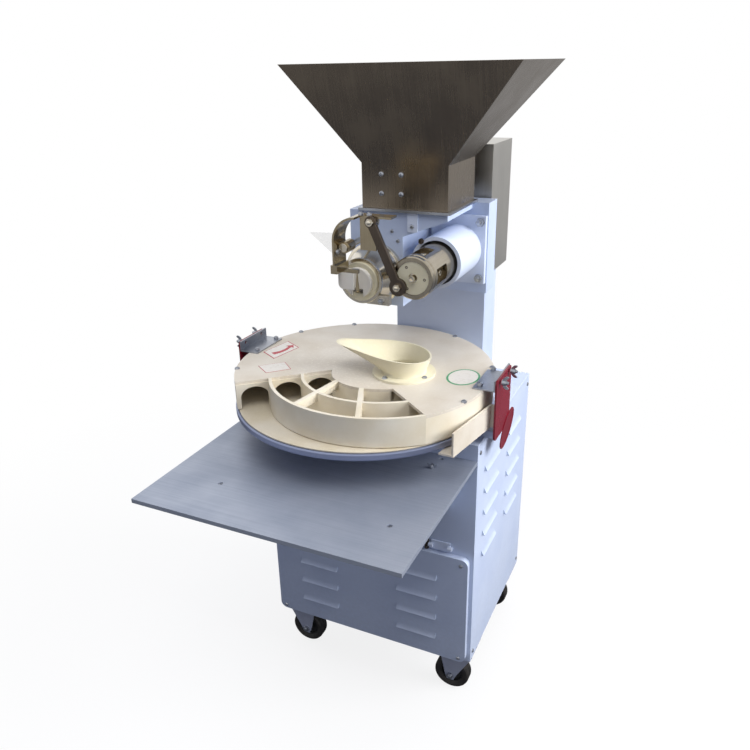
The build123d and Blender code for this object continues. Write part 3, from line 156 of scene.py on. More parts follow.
# %% [markdown]
# ## Lamps
# Three soft lamps give the light a direction: one above the tray, one at the window and a weak one at the
# left. Each row has the way to the lamp, its distance and size in metres, and its power in watts. They are
# left out of reflections, because their mirror image would bleach bright metal.

# %% Lamps
lamp_aim = Vector((0.05, -0.1, 0.8))
lamp_plan = [("ceiling_lamp", Vector((0.15, -0.36, 0.92)), 3.0, 1.6, 32),
             ("window_lamp", Vector((0.9, 0.16, 0.36)), 2.7, 1.6, 80),
             ("left_lamp", Vector((-0.9, 0.1, 0.45)), 2.7, 1.6, 10)]
for name, way, reach, size, power in lamp_plan:
    lamp = bpy.data.objects.new(name, bpy.data.lights.new(name, "AREA"))
    scene.collection.objects.link(lamp)
    lamp.data.size = size
    lamp.data.energy = power
    lamp.visible_glossy = False
    lamp.location = lamp_aim + way.normalized() * reach
    lamp.rotation_euler = (lamp_aim - lamp.location).to_track_quat("-Z", "Y").to_euler()
    print(name, [round(value, 2) for value in lamp.location])

# %% [markdown]
# ## Finishes
# Every finish starts in the same way: a new material whose patterns read Object coordinates, so that a
# pattern sits still on its piece. Object coordinates are in metres here, so a grain of a given size in
# millimetres needs a texture scale of a thousand divided by that size.

# %% Start of a finish
def start_finish(name):
    material = bpy.data.materials.new(name)
    material.use_nodes = True
    tree = material.node_tree
    place = add_node(tree, "ShaderNodeTexCoord").outputs["Object"]
    return material, tree, tree.nodes["Principled BSDF"], place


def per_mm(size):
    return 1000.0 / size


print("a 2 mm grain has scale", per_mm(2))

# %% [markdown]
# ### Floor
# A plain pale sheet lies under the castors. The camera sees it nearly white, and wholly white two metres
# out, so that no horizon shows. The rest of its share keeps the machine's soft shadow. To the light that
# falls on the machine it is a grey floor, which throws little light up at the cabinet's front. Bare metal
# shows it grey nearby and pale far out, so bands of light and dark lie side by side on polished pieces.

# %% Floor paper
paper_grain = 25
paper, paper_tree, paper_shader, paper_place = start_finish("pale_backdrop_paper")
grain = add_node(paper_tree, "ShaderNodeTexNoise",
                 {"Vector": paper_place, "Scale": per_mm(paper_grain), "Detail": 3.0})
paper_tone = add_node(paper_tree, "ShaderNodeMix",
                      {0: grain, 6: linear("#5e6065"), 7: linear("#66686d")}, data_type="RGBA")
paper_ray = add_node(paper_tree, "ShaderNodeLightPath").outputs
paper_face = add_node(paper_tree, "ShaderNodeMix",
                      {0: paper_ray["Is Camera Ray"], 6: paper_tone.outputs[2], 7: linear("#f6f6f7")},
                      data_type="RGBA")
paper_tree.links.new(paper_face.outputs[2], paper_shader.inputs["Base Color"])
paper_shader.inputs["Roughness"].default_value = 0.95
print("paper grain of", paper_grain, "mm")

# %% Floor
# Each kind of ray has where its white starts and is full, in metres, and how white the floor is at both
white_to_camera = ("Is Camera Ray", 0.5, 1.9, 0.84, 1.0)
white_to_metal = ("Is Glossy Ray", 2.0, 4.5, 0.0, 0.42)
floor_half = 30
paper_reach = add_node(paper_tree, "ShaderNodeVectorMath", {0: paper_place}, operation="LENGTH")
whites = []
for kind, start, full, least, most in (white_to_camera, white_to_metal):
    fade = add_node(paper_tree, "ShaderNodeMapRange",
                    {"Value": paper_reach.outputs["Value"], 1: start, 2: full, 3: least, 4: most})
    white = add_node(paper_tree, "ShaderNodeMath", {0: paper_ray[kind], 1: fade},
                     operation="MULTIPLY")
    whites.append(white)
white_share = add_node(paper_tree, "ShaderNodeMath", {0: whites[0], 1: whites[1]}, operation="MAXIMUM")
paper_glow = add_node(paper_tree, "ShaderNodeEmission", {"Color": linear("#ffffff"), "Strength": 1.0})
paper_mix = add_node(paper_tree, "ShaderNodeMixShader", {0: white_share, 1: paper_shader, 2: paper_glow})
paper_tree.links.new(paper_mix.outputs[0], paper_tree.nodes["Material Output"].inputs["Surface"])
floor_corners = [(x * floor_half, y * floor_half, 0) for x, y in ((-1, -1), (1, -1), (1, 1), (-1, 1))]
floor_mesh = bpy.data.meshes.new("floor")
floor_mesh.from_pydata(floor_corners, [], [(0, 1, 2, 3)])
floor_mesh.materials.append(paper)
floor = bpy.data.objects.new("floor", floor_mesh)
scene.collection.objects.link(floor)
print("floor laid,", 2 * floor_half, "m wide")

# %% [markdown]
# ### Sprayed enamel
# The cabinet and the column are folded steel, sprayed and baked. The eye sees a smooth colour with a fine
# orange peel in the gloss and faint clouds where the spray overlapped. Low down the colour turns greyer in
# speckles, more so the nearer it is to the floor.

# %% Enamel
spray_cloud = 130
greying_speck = 9
greying_top, greying_full, greying_most = 0.42, 0.1, 0.35


def enamel(name, colour, cloud, peel_size, peel_depth, roughness):
    material, tree, shader, place = start_finish(name)
    clouds = add_node(tree, "ShaderNodeTexNoise",
                      {"Vector": place, "Scale": per_mm(spray_cloud), "Detail": 4.0})
    share = add_node(tree, "ShaderNodeMapRange", {"Value": clouds, 1: 0.4, 2: 0.75, 3: 0.0, 4: 1.0})
    tone = add_node(tree, "ShaderNodeMix", {0: share, 6: linear(colour), 7: linear(cloud)},
                    data_type="RGBA")
    height = add_node(tree, "ShaderNodeSeparateXYZ", {0: place})
    # Below 0.42 m the colour is mixed towards grey in speckles, most at 0.1 m and below
    low = add_node(tree, "ShaderNodeMapRange",
                   {"Value": height.outputs["Z"], 1: greying_top, 2: greying_full, 3: 0.0, 4: greying_most})
    specks = add_node(tree, "ShaderNodeTexNoise",
                      {"Vector": place, "Scale": per_mm(greying_speck), "Detail": 6.0})
    mixed_in = add_node(tree, "ShaderNodeMath", {0: low, 1: specks}, operation="MULTIPLY")
    greyed = add_node(tree, "ShaderNodeMix", {0: mixed_in, 6: tone.outputs[2], 7: linear("#8d8c8a")},
                     data_type="RGBA")
    peel = add_node(tree, "ShaderNodeTexNoise",
                    {"Vector": place, "Scale": per_mm(peel_size), "Detail": 1.0})
    bump = add_node(tree, "ShaderNodeBump", {"Height": peel, "Distance": peel_depth * MM, "Strength": 0.6})
    gloss = add_node(tree, "ShaderNodeMapRange",
                     {"Value": clouds, 1: 0.3, 2: 0.8, 3: roughness, 4: roughness + 0.14})
    tree.links.new(greyed.outputs[2], shader.inputs["Base Color"])
    tree.links.new(gloss.outputs[0], shader.inputs["Roughness"])
    tree.links.new(bump.outputs[0], shader.inputs["Normal"])
    shader.inputs["IOR"].default_value = 1.5
    return material


blue_enamel = enamel("sprayed_blue_enamel", "#c8d3e9", "#bcc8e1", 3.0, 0.05, 0.34)
white_enamel = enamel("white_enamel_on_iron", "#d9e2f4", "#cbd5eb", 5.0, 0.12, 0.3)
# The head casting wears the same white enamel as the housing. This darker, bluer copy of it is painted
# shade: it stands in for the shade that the hopper's flange throws over the casting.
shaded_white_enamel = enamel("white_enamel_painted_shade", "#c3d0ea", "#b6c4e2", 5.0, 0.12, 0.32)
red_enamel = enamel("red_enamel", "#7d0f24", "#690c1e", 2.5, 0.05, 0.22)
motor_enamel = enamel("grey_motor_enamel", "#55616d", "#4a545f", 4.0, 0.15, 0.45)
fork_enamel = enamel("grey_castor_enamel", "#b6bbcc", "#a3a8ba", 3.0, 0.1, 0.42)
print("enamels made")

# %% [markdown]
# ### Bare metal
# Stainless sheet is brushed: thousands of scratches in one direction draw long streaks and spread the
# reflections. Real scratches are finer than a pixel here, so the streaks are drawn a few millimetres wide
# to show. Hands leave cloudy smudges that change the gloss. Polished steel is the same metal with hardly any
# streak. A film of flour lies on the tray and scatters light, so only half of what it shows is bare metal.

# %% Brushed and polished metal
streak_lengthening = 60
smudge_size = 75


def bare_metal(name, colour, smudge, streak, along, roughness, depth, bare=1.0):
    material, tree, shader, place = start_finish(name)
    stretch = [per_mm(streak * streak_lengthening if axis in along else streak) for axis in "xyz"]
    drawn = add_node(tree, "ShaderNodeMapping", {"Vector": place, "Scale": stretch})
    streaks = add_node(tree, "ShaderNodeTexNoise",
                       {"Vector": drawn, "Scale": 1.0, "Detail": 4.0, "Roughness": 0.65})
    smudges = add_node(tree, "ShaderNodeTexNoise",
                       {"Vector": place, "Scale": per_mm(smudge_size), "Detail": 3.0})
    both = add_node(tree, "ShaderNodeMix", {0: 0.55, 2: streaks, 3: smudges})
    share = add_node(tree, "ShaderNodeMapRange", {"Value": both, 1: 0.36, 2: 0.64, 3: 0.0, 4: 1.0})
    tone = add_node(tree, "ShaderNodeMix", {0: share, 6: linear(colour), 7: linear(smudge)},
                    data_type="RGBA")
    gloss = add_node(tree, "ShaderNodeMapRange",
                     {"Value": both, 1: 0.3, 2: 0.7, 3: roughness, 4: roughness + 0.15})
    bump = add_node(tree, "ShaderNodeBump", {"Height": streaks, "Distance": depth * MM, "Strength": 0.5})
    tree.links.new(tone.outputs[2], shader.inputs["Base Color"])
    tree.links.new(gloss.outputs[0], shader.inputs["Roughness"])
    tree.links.new(bump.outputs[0], shader.inputs["Normal"])
    shader.inputs["Metallic"].default_value = bare
    return material


hopper_front = bare_metal("brushed_stainless_front", "#897d6f", "#928676", 3.0, "yz", 0.2, 0.01)
hopper_side = bare_metal("brushed_stainless_side", "#897d6f", "#928676", 3.0, "xz", 0.2, 0.01)
hood_stainless = bare_metal("brushed_stainless_hood", "#c4c1ba", "#d1cec7", 3.0, "z", 0.28, 0.03)
tray_stainless = bare_metal("floured_stainless_tray", "#acb3c1", "#9ca4b4", 4.0, "x", 0.42, 0.03, 0.5)
strap_stainless = bare_metal("satin_stainless_strap", "#a09379", "#b5a992", 3.0, "z", 0.09, 0.01)
polished_steel = bare_metal("polished_steel", "#d3cab8", "#e2dccf", 6.0, "y", 0.12, 0.01)
oiled_steel = bare_metal("oiled_black_steel", "#564d45", "#6b6158", 3.0, "z", 0.18, 0.02)
drum_steel = bare_metal("turned_drum_steel", "#a09786", "#b6ad9d", 4.0, "y", 0.13, 0.01)
zinc_plate = bare_metal("zinc_plated_steel", "#b3b7bf", "#9a9ea8", 5.0, "", 0.24, 0.03)
print("metals made")

# %% [markdown]
# ### Turned turntable
# The turntable was faced in a lathe, which leaves fine rings round its axle. A Wave texture set to rings
# draws them once a Mapping node has moved its centre to that axle. At scale 1 its rings lie 0.31416 m apart.
# The real feed of a fifth of a millimetre is too fine to show, so the rings here are 3 mm apart.

# %% Turned aluminium
table_low, table_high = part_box("turntable")
table_axle = (table_low + table_high) / 2
wave_spacing = 0.31416
stain_size = 60


def turned_metal(name, colour, ring_colour, pitch, centre, roughness):
    material, tree, shader, place = start_finish(name)
    centred = add_node(tree, "ShaderNodeMapping", {"Vector": place, "Location": -centre})
    rings = add_node(tree, "ShaderNodeTexWave",
                     {"Vector": centred, "Scale": wave_spacing / (pitch * MM), "Distortion": 0.4,
                      "Detail": 2.0}, wave_type="RINGS", rings_direction="Z")
    stains = add_node(tree, "ShaderNodeTexNoise",
                      {"Vector": place, "Scale": per_mm(stain_size), "Detail": 4.0})
    both = add_node(tree, "ShaderNodeMix", {0: 0.65, 2: rings.outputs[1], 3: stains})
    tone = add_node(tree, "ShaderNodeMix", {0: both, 6: linear(colour), 7: linear(ring_colour)},
                    data_type="RGBA")
    bump = add_node(tree, "ShaderNodeBump",
                    {"Height": rings.outputs[1], "Distance": 0.03 * MM, "Strength": 0.4})
    tree.links.new(tone.outputs[2], shader.inputs["Base Color"])
    tree.links.new(bump.outputs[0], shader.inputs["Normal"])
    shader.inputs["Metallic"].default_value = 0.85
    shader.inputs["Roughness"].default_value = roughness
    return material


turned_aluminium = turned_metal("turned_aluminium", "#8089a8", "#9ea6c0", 3.0, table_axle, 0.42)
print("turntable axle at", [round(value / MM, 1) for value in table_axle])

# %% [markdown]
# ### Cast nylon with flour
# The cover, the track and the turntable's liner are cast nylon, cream from age and flour. Flour lies as pale
# dust in patches, thickest under the funnel's lip where the dough drops. The flap beside the cutter is a
# thin clear sheet of nylon, which lets most of the light through.

# %% Nylon
funnel_low, funnel_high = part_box("funnel")
lip_inset = 20 * MM
lip_place = Vector((funnel_low.x + lip_inset, (funnel_low.y + funnel_high.y) / 2, funnel_low.z))
ageing_cloud = 90
flour_grain = 6
flour_far, flour_near = 0.2, 0.02


def cast_nylon(name, colour, aged, flour, roughness):
    material, tree, shader, place = start_finish(name)
    ageing = add_node(tree, "ShaderNodeTexNoise",
                      {"Vector": place, "Scale": per_mm(ageing_cloud), "Detail": 5.0})
    aged_share = add_node(tree, "ShaderNodeMapRange", {"Value": ageing, 1: 0.38, 2: 0.68, 3: 0.0, 4: 1.0})
    tone = add_node(tree, "ShaderNodeMix", {0: aged_share, 6: linear(colour), 7: linear(aged)},
                    data_type="RGBA")
    reach = add_node(tree, "ShaderNodeVectorMath", {0: place, 1: lip_place}, operation="DISTANCE")
    near = add_node(tree, "ShaderNodeMapRange",
                    {"Value": reach.outputs["Value"], 1: flour_far, 2: flour_near, 3: 0.2, 4: 1.0})
    grains = add_node(tree, "ShaderNodeTexNoise",
                      {"Vector": place, "Scale": per_mm(flour_grain), "Detail": 7.0, "Roughness": 0.7})
    thick = add_node(tree, "ShaderNodeMapRange", {"Value": grains, 1: 0.5, 2: 0.68, 3: 0.0, 4: flour})
    mixed_in = add_node(tree, "ShaderNodeMath", {0: near, 1: thick}, operation="MULTIPLY")
    floured = add_node(tree, "ShaderNodeMix", {0: mixed_in, 6: tone.outputs[2], 7: linear("#f4efe2")},
                       data_type="RGBA")
    gloss = add_node(tree, "ShaderNodeMapRange", {"Value": mixed_in, 1: 0.0, 2: 1.0, 3: roughness, 4: 0.9})
    bump = add_node(tree, "ShaderNodeBump", {"Height": grains, "Distance": 0.15 * MM, "Strength": 0.35})
    tree.links.new(floured.outputs[2], shader.inputs["Base Color"])
    tree.links.new(gloss.outputs[0], shader.inputs["Roughness"])
    tree.links.new(bump.outputs[0], shader.inputs["Normal"])
    shader.inputs["IOR"].default_value = 1.53
    return material


cover_nylon = cast_nylon("cast_nylon_cover", "#dcd4c6", "#cfc4b2", 0.7, 0.42)
track_nylon = cast_nylon("cast_nylon_track", "#e8e1d0", "#ded3bb", 0.5, 0.5)
liner_nylon = cast_nylon("floured_nylon_liner", "#dbd2bf", "#cfc3a8", 0.8, 0.55)
funnel_nylon = cast_nylon("moulded_nylon_funnel", "#ebe4c9", "#e0d7b7", 0.3, 0.3)
white_nylon = cast_nylon("white_nylon", "#f3efe6", "#e6e0d2", 0.3, 0.35)
flap_nylon = cast_nylon("thin_clear_nylon_sheet", "#f7f4ec", "#efeadf", 0.2, 0.4)
flap_nylon.node_tree.nodes["Principled BSDF"].inputs["Alpha"].default_value = 0.15
print("nylons made")

# %% [markdown]
# ### Rubber and black plastic
# Tyres and belts are black rubber with a dull skin and grey dust in it. The gland and the wheels' centres
# are moulded black plastic, which is the same with a finer grain and more gloss.

# %% Rubber
grains_per_cloud = 12


def rubber(name, colour, mixed_in, grain, roughness):
    material, tree, shader, place = start_finish(name)
    clouds = add_node(tree, "ShaderNodeTexNoise",
                      {"Vector": place, "Scale": per_mm(grain * grains_per_cloud), "Detail": 5.0})
    share = add_node(tree, "ShaderNodeMapRange", {"Value": clouds, 1: 0.45, 2: 0.8, 3: 0.0, 4: 0.8})
    tone = add_node(tree, "ShaderNodeMix", {0: share, 6: linear(colour), 7: linear(mixed_in)},
                    data_type="RGBA")
    skin = add_node(tree, "ShaderNodeTexNoise", {"Vector": place, "Scale": per_mm(grain), "Detail": 2.0})
    bump = add_node(tree, "ShaderNodeBump", {"Height": skin, "Distance": 0.1 * MM, "Strength": 0.5})
    tree.links.new(tone.outputs[2], shader.inputs["Base Color"])
    tree.links.new(bump.outputs[0], shader.inputs["Normal"])
    shader.inputs["Roughness"].default_value = roughness
    return material


tyre_rubber = rubber("black_tyre_rubber", "#1d1b1a", "#3a3633", 1.2, 0.62)
belt_rubber = rubber("black_belt_rubber", "#191919", "#2b2a29", 1.5, 0.7)
gland_plastic = rubber("moulded_black_plastic", "#1c1c1d", "#29292a", 0.8, 0.45)
print("rubbers made")

# %% [markdown]
# ## Dressing a solid
# No real edge is perfectly sharp: sheet has a burr that was filed, castings have a radius, and that thin
# strip of light along an edge is what makes a solid look made. A CAD mesh arrives as loose triangles, so a
# copy is merged, its flat faces are joined up again, and a Bevel modifier rounds its edges. A Weighted
# Normal modifier then lets the large faces set the shading, so that flat sheet stays flat right up to its
# rounded edge.

# %% Dress a CAD node
merge_reach = 0.02 * MM
flat_angle = math.radians(0.5)
edge_angle = math.radians(32)
sharp_degrees = 50
behaviour = frame["record"]["behaviour"]
body_of_node = {node: body for body, members in behaviour["bodies"].items() for node in members}


def merged_form(node):
    form = bmesh.new()
    form.from_mesh(cad_nodes[node].data)
    bmesh.ops.remove_doubles(form, verts=form.verts, dist=merge_reach)
    return form


def joined_mesh(node):
    form = merged_form(node)
    bmesh.ops.dissolve_limit(form, angle_limit=flat_angle, verts=form.verts, edges=form.edges)
    mesh = bpy.data.meshes.new(node + "_dressed")
    form.to_mesh(mesh)
    form.free()
    return mesh


def new_piece(name, mesh, *finishes):
    mesh.materials.clear()
    for finish in finishes:
        mesh.materials.append(finish)
    piece = bpy.data.objects.new(name, mesh)
    scene.collection.objects.link(piece)
    return piece


def settle(piece):
    bpy.context.view_layer.update()
    made = bpy.data.meshes.new_from_object(piece.evaluated_get(bpy.context.evaluated_depsgraph_get()))
    piece.modifiers.clear()
    piece.data = made


def shade(piece, sharp):
    piece.data.shade_smooth()
    piece.data.set_sharp_from_angle(angle=math.radians(sharp))
    weighing = piece.modifiers.new("normals", "WEIGHTED_NORMAL")
    weighing.weight = 90
    weighing.keep_sharp = True
    settle(piece)


def dress(node, finish, edge, mesh=None):
    piece = new_piece(node + "_dressed", mesh or joined_mesh(node), finish)
    rounding = piece.modifiers.new("edge", "BEVEL")
    rounding.width = edge * MM
    rounding.segments = 2
    rounding.limit_method = "ANGLE"
    rounding.angle_limit = edge_angle
    settle(piece)
    shade(piece, sharp_degrees)
    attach(piece, body_of_node[node])
    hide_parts(node)
    return piece


# %% [markdown]
# ## Dressing the visible pieces
# Each row has a piece, its finish and the width of its rounded edges in millimetres: under one on most of
# the filed sheet, two on the large casting. One table for all of them is quick to compare and to change.

# %% Dress the visible pieces
dressing = [
    ("hopper_flange", zinc_plate, 0.8), ("gear_hood", hood_stainless, 0.8), ("column", blue_enamel, 1.5),
    # The head casting takes the darker copy of the white enamel, whose colour is painted shade.
    ("head_casting", shaded_white_enamel, 2.0), ("crank_housing", white_enamel, 1.5),
    ("nozzle_body", polished_steel, 1.0), ("nozzle_ring", funnel_nylon, 0.8),
    ("nozzle_cap", white_nylon, 1.2), ("crank_drum", drum_steel, 0.8), ("crank_disc", funnel_nylon, 0.8),
    ("cutter_rod", oiled_steel, 1.2), ("cutter_strap", strap_stainless, 0.6),
    ("cutter_block", white_nylon, 1.2), ("side_flap", flap_nylon, 0.5), ("rocker_stud", polished_steel, 0.6),
    ("funnel", funnel_nylon, 1.0), ("track_cover", cover_nylon, 1.0), ("rounding_track", track_nylon, 0.5),
    ("turntable", turned_aluminium, 1.2), ("turntable_liner", liner_nylon, 0.8),
    ("cover_brackets", zinc_plate, 0.6), ("side_plates", red_enamel, 0.8),
    ("bracket_arms", blue_enamel, 1.0), ("exit_fence", cover_nylon, 0.8), ("tray", tray_stainless, 0.5),
    ("tray_brackets", blue_enamel, 1.0),
    ("cabinet_shell", blue_enamel, 0.8), ("front_cover", blue_enamel, 0.8), ("top_plate", blue_enamel, 0.8),
    ("base_plate", blue_enamel, 0.8), ("back_panel", blue_enamel, 0.6), ("cover_latch", white_enamel, 0.5),
    ("castor_plates", fork_enamel, 0.8), ("fork_front_left", fork_enamel, 0.8),
    ("fork_front_right", fork_enamel, 0.8), ("rear_forks", fork_enamel, 0.8),
    ("cable_gland", gland_plastic, 0.6),
]
for node, finish, edge in dressing:
    piece = dress(node, finish, edge)
    print(node, len(piece.data.polygons), "faces")

# %% [markdown]
# ## Rings, stacks and sheets
# Turned and moulded small things can all be written as rings of points, one above the other, with faces
# between them. A ring is round or has straight sides between its corners, as a hexagon has. A sheet is a
# flat outline with a thickness, laid anywhere by an origin and two directions.

# %% Small shapes
def ring(radius, height, corners=0, steps=24):
    points = []
    for step in range(steps):
        angle = math.tau * step / steps
        reach = radius
        if corners:
            side = math.tau / corners
            reach = radius * math.cos(side / 2) / math.cos(angle % side - side / 2)
        points.append(Vector((reach * math.cos(angle), reach * math.sin(angle), height)))
    return points


def stack(rings, closed=False):
    count = len(rings[0])
    points = [point for row in rings for point in row]
    faces = []
    for row in range(len(rings) if closed else len(rings) - 1):
        low = row * count
        high = (row + 1) % len(rings) * count
        for step in range(count):
            after = (step + 1) % count
            faces.append((low + step, low + after, high + after, high + step))
    if not closed:
        faces.append(tuple(reversed(range(count))))
        faces.append(tuple(range(len(points) - count, len(points))))
    return points, faces


def sheet(outline, origin, across, up, thickness):
    out = across.cross(up).normalized() * thickness
    back = [origin + across * u + up * v for u, v in outline]
    return stack([back, [point + out for point in back]])


def shape_mesh(name, *shapes):
    points = []
    faces = []
    for shape_points, shape_faces in shapes:
        faces += [tuple(index + len(points) for index in face) for face in shape_faces]
        points += shape_points
    mesh = bpy.data.meshes.new(name)
    mesh.from_pydata(points, [], faces)
    return mesh


hexagon_reaches = set(round(point.length, 4) for point in ring(1, 0, 6))
print("a hexagon ring has", len(hexagon_reaches), "different reaches")

# %% [markdown]
# ## Hopper
# The hopper is folded from one sheet, and its walls run straight up to a sharp rim with no flange. Rings of
# four corners, up the outside and down the inside, make that shell. The neck's corners are measured on the
# solid. At the rim the sloping sheet is cut level, so its edge is wider there than the sheet is thick. The
# brushing runs down each sloping wall, so front and sides have a finish each, stretched along its own slope.

# %% Hopper
hopper_sheet = 2.0
rim_width = 1.3 * hopper_sheet


def corners_of_box(points):
    return [Vector(pick(point[i] for point in points) for i in range(3)) for pick in (min, max)]


def folded_ring(low, high, height, inset):
    left, right = low.x + inset * MM, high.x - inset * MM
    front, back = low.y + inset * MM, high.y - inset * MM
    return [Vector((x, y, height)) for x, y in ((left, front), (right, front), (right, back), (left, back))]


hopper_low, hopper_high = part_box("hopper")
hopper_points = [vert.co for vert in cad_nodes["hopper"].data.vertices]
neck_low, neck_high = corners_of_box([point for point in hopper_points if point.z < hopper_low.z + 0.5 * MM])
neck_top = max(point.z for point in hopper_points if (point - neck_low).xy.length < 0.1 * MM)
hopper_rings = [folded_ring(neck_low, neck_high, hopper_low.z, 0),
                folded_ring(neck_low, neck_high, neck_top, 0),
                folded_ring(hopper_low, hopper_high, hopper_high.z, 0),
                folded_ring(hopper_low, hopper_high, hopper_high.z, rim_width),
                folded_ring(neck_low, neck_high, neck_top, hopper_sheet),
                folded_ring(neck_low, neck_high, hopper_low.z, hopper_sheet)]
hopper = dress("hopper", hopper_front, 0.5, shape_mesh("hopper_dressed", stack(hopper_rings, closed=True)))
hopper.data.materials.append(hopper_side)
for face in hopper.data.polygons:
    face.material_index = int(abs(face.normal.x) > abs(face.normal.y))
print("hopper neck ends at", round(neck_top / MM), "mm,", len(hopper.data.polygons), "faces")

# %% [markdown]
# ## Patterns of the fittings
# Each kind of screw, bolt and nut is made once, one unit in radius with its seat at height 0. The cross in a
# round head is pressed in by lowering the points that lie in its two arms.

# %% Fitting patterns
cross_depth, cross_half_width, cross_reach = 0.3, 0.12, 0.5


def cross_pressed(shape):
    points, faces = shape
    pressed = []
    for point in points:
        narrow, wide = sorted((abs(point.x), abs(point.y)))
        in_cross = narrow < cross_half_width and wide < cross_reach and point.z > 0
        pressed.append(point - Vector((0, 0, cross_depth if in_cross else 0)))
    return pressed, faces


crown = [(1.0, -0.2), (1.0, 0.12), (0.92, 0.34), (0.74, 0.5), (0.54, 0.58), (0.45, 0.6), (0.3, 0.62),
         (0.15, 0.63)]
flush = [(1.0, -0.3), (1.0, 0.02), (0.96, 0.06), (0.54, 0.06), (0.45, 0.06), (0.3, 0.06), (0.15, 0.06)]
nut = [ring(1.0, 0.0, 6), ring(1.0, 0.6, 6), ring(0.86, 0.74), ring(0.56, 0.74), ring(0.5, 1.0),
       ring(0.4, 1.06)]
socket = [ring(1.0, -0.1), ring(1.0, 1.0), ring(0.93, 1.1), ring(0.64, 1.1), ring(0.56, 1.08, 6),
          ring(0.56, 0.5, 6)]
wing = [(0.25, 0.05), (0.7, 0.2), (1.0, 0.55), (1.04, 0.92), (0.9, 1.05), (0.7, 0.92), (0.5, 0.62),
        (0.25, 0.6)]
hub = [ring(0.46, 0.0), ring(0.46, 0.4), ring(0.36, 0.75), ring(0.24, 0.75), ring(0.24, 1.0),
       ring(0.18, 1.05)]
wings = [sheet(wing, Vector((0, turn * 0.1, 0)), Vector((turn, 0, 0)), Vector((0, 0, 1)), 0.2)
         for turn in (1, -1)]
pattern_shapes = {
    "round_head": [cross_pressed(stack([ring(*row) for row in crown]))],
    "flush_head": [cross_pressed(stack([ring(*row) for row in flush]))],
    "hexagon_nut": [stack(nut)],
    "socket_head": [stack(socket)],
    "wing_nut": [stack(hub)] + wings,
}
patterns = {name: new_piece(name, shape_mesh(name, *shapes)) for name, shapes in pattern_shapes.items()}
for name, pattern in patterns.items():
    pattern.data.shade_smooth()
    pattern.data.set_sharp_from_angle(angle=math.radians(35))
    print(name, len(pattern.data.polygons), "faces")

# %% [markdown]
# ## Fittings on points
# Screws could be duplicated by hand, but a Geometry Nodes tree does it once for all kinds: each point of a
# small cloud says which way its fitting looks and how wide it is, and the tree turns, scales and copies the
# pattern there. The result is made real and turned into a plain mesh.

# %% Fittings tree
fittings_tree = bpy.data.node_groups.new("fittings_on_points", "GeometryNodeTree")
sockets = {}
for name, kind in [("Points", "Geometry"), ("Fitting", "Object"), ("Finish", "Material")]:
    made = fittings_tree.interface.new_socket(name, in_out="INPUT", socket_type="NodeSocket" + kind)
    sockets[name] = made.identifier
fittings_tree.interface.new_socket("Fittings", in_out="OUTPUT", socket_type="NodeSocketGeometry")
given = add_node(fittings_tree, "NodeGroupInput").outputs
way = add_node(fittings_tree, "GeometryNodeInputNamedAttribute", {"Name": "way"}, data_type="FLOAT_VECTOR")
size = add_node(fittings_tree, "GeometryNodeInputNamedAttribute", {"Name": "size"}, data_type="FLOAT")
turn = add_node(fittings_tree, "FunctionNodeAlignRotationToVector", {"Vector": way.outputs["Attribute"]},
                axis="Z")
model = add_node(fittings_tree, "GeometryNodeObjectInfo", {"Object": given["Fitting"], "As Instance": True})
copies = add_node(fittings_tree, "GeometryNodeInstanceOnPoints",
                  {"Points": given["Points"], "Instance": model.outputs["Geometry"],
                   "Rotation": turn.outputs["Rotation"], "Scale": size.outputs["Attribute"]})
real = add_node(fittings_tree, "GeometryNodeRealizeInstances", {"Geometry": copies.outputs["Instances"]})
finished = add_node(fittings_tree, "GeometryNodeSetMaterial",
                    {"Geometry": real.outputs["Geometry"], "Material": given["Finish"]})
add_node(fittings_tree, "NodeGroupOutput", {"Fittings": finished.outputs["Geometry"]})
print(len(fittings_tree.nodes), "nodes in the fittings tree")

# %% [markdown]
# ## Where the fittings sit
# Most screws are already in the solids, each as a small separate island, so its place is measured there and
# not typed: the widest points are its head, the nearer end of the head is its seat, and the head's side is
# the way it looks.

# %% Places of the fittings
widest_share = 0.97


def islands(node):
    form = merged_form(node)
    waiting = set(form.verts)
    found = []
    while waiting:
        group = [waiting.pop()]
        for vert in group:
            for edge in vert.link_edges:
                other = edge.other_vert(vert)
                if other in waiting:
                    waiting.remove(other)
                    group.append(other)
        found.append([vert.co.copy() for vert in group])
    form.free()
    return found


def head_spot(points, axis=None):
    low, high = corners_of_box(points)
    span = high - low
    if axis is None:
        axis = min(range(3), key=lambda i: abs(span[(i + 1) % 3] - span[(i + 2) % 3]))
    middle = (low + high) / 2
    first, second = [i for i in range(3) if i != axis]
    reach = [math.hypot(point[first] - middle[first], point[second] - middle[second]) for point in points]
    size = max(reach)
    widest = [point[axis] for point, r in zip(points, reach) if r > widest_share * size]
    side = 1 if sum(widest) / len(widest) > middle[axis] else -1
    place = middle.copy()
    place[axis] = min(widest) if side > 0 else max(widest)
    way = Vector((0, 0, 0))
    way[axis] = side
    return place, way, size


def spots(node, axis=None):
    return [head_spot(points, axis) for points in islands(node)]


for node in ("panel_screws", "head_bolts", "track_screws", "drum_bolts", "rod_bolts"):
    widths = sorted(round(2 * size / MM, 1) for place, way, size in spots(node))
    print(node, "head widths in mm", widths)

# %% [markdown]
# ## Setting the fittings
# A set of fittings is one piece: a cloud of points that goes through the tree and becomes a mesh. Most are
# zinc plated and sit on the fixed body of the machine, so those are the function's usual values. The tray's
# screws look up and lie flush, and the large bolts of the housing's plate have hexagon heads, so both are
# picked out of their groups.

# %% Set the fittings
plate_bolt_least = 8 * MM
x_axis, y_axis = 0, 1
to_front = (0, -1, 0)


def at(x, y, z, way, size):
    return Vector((x, y, z)) * MM, Vector(way), size * MM


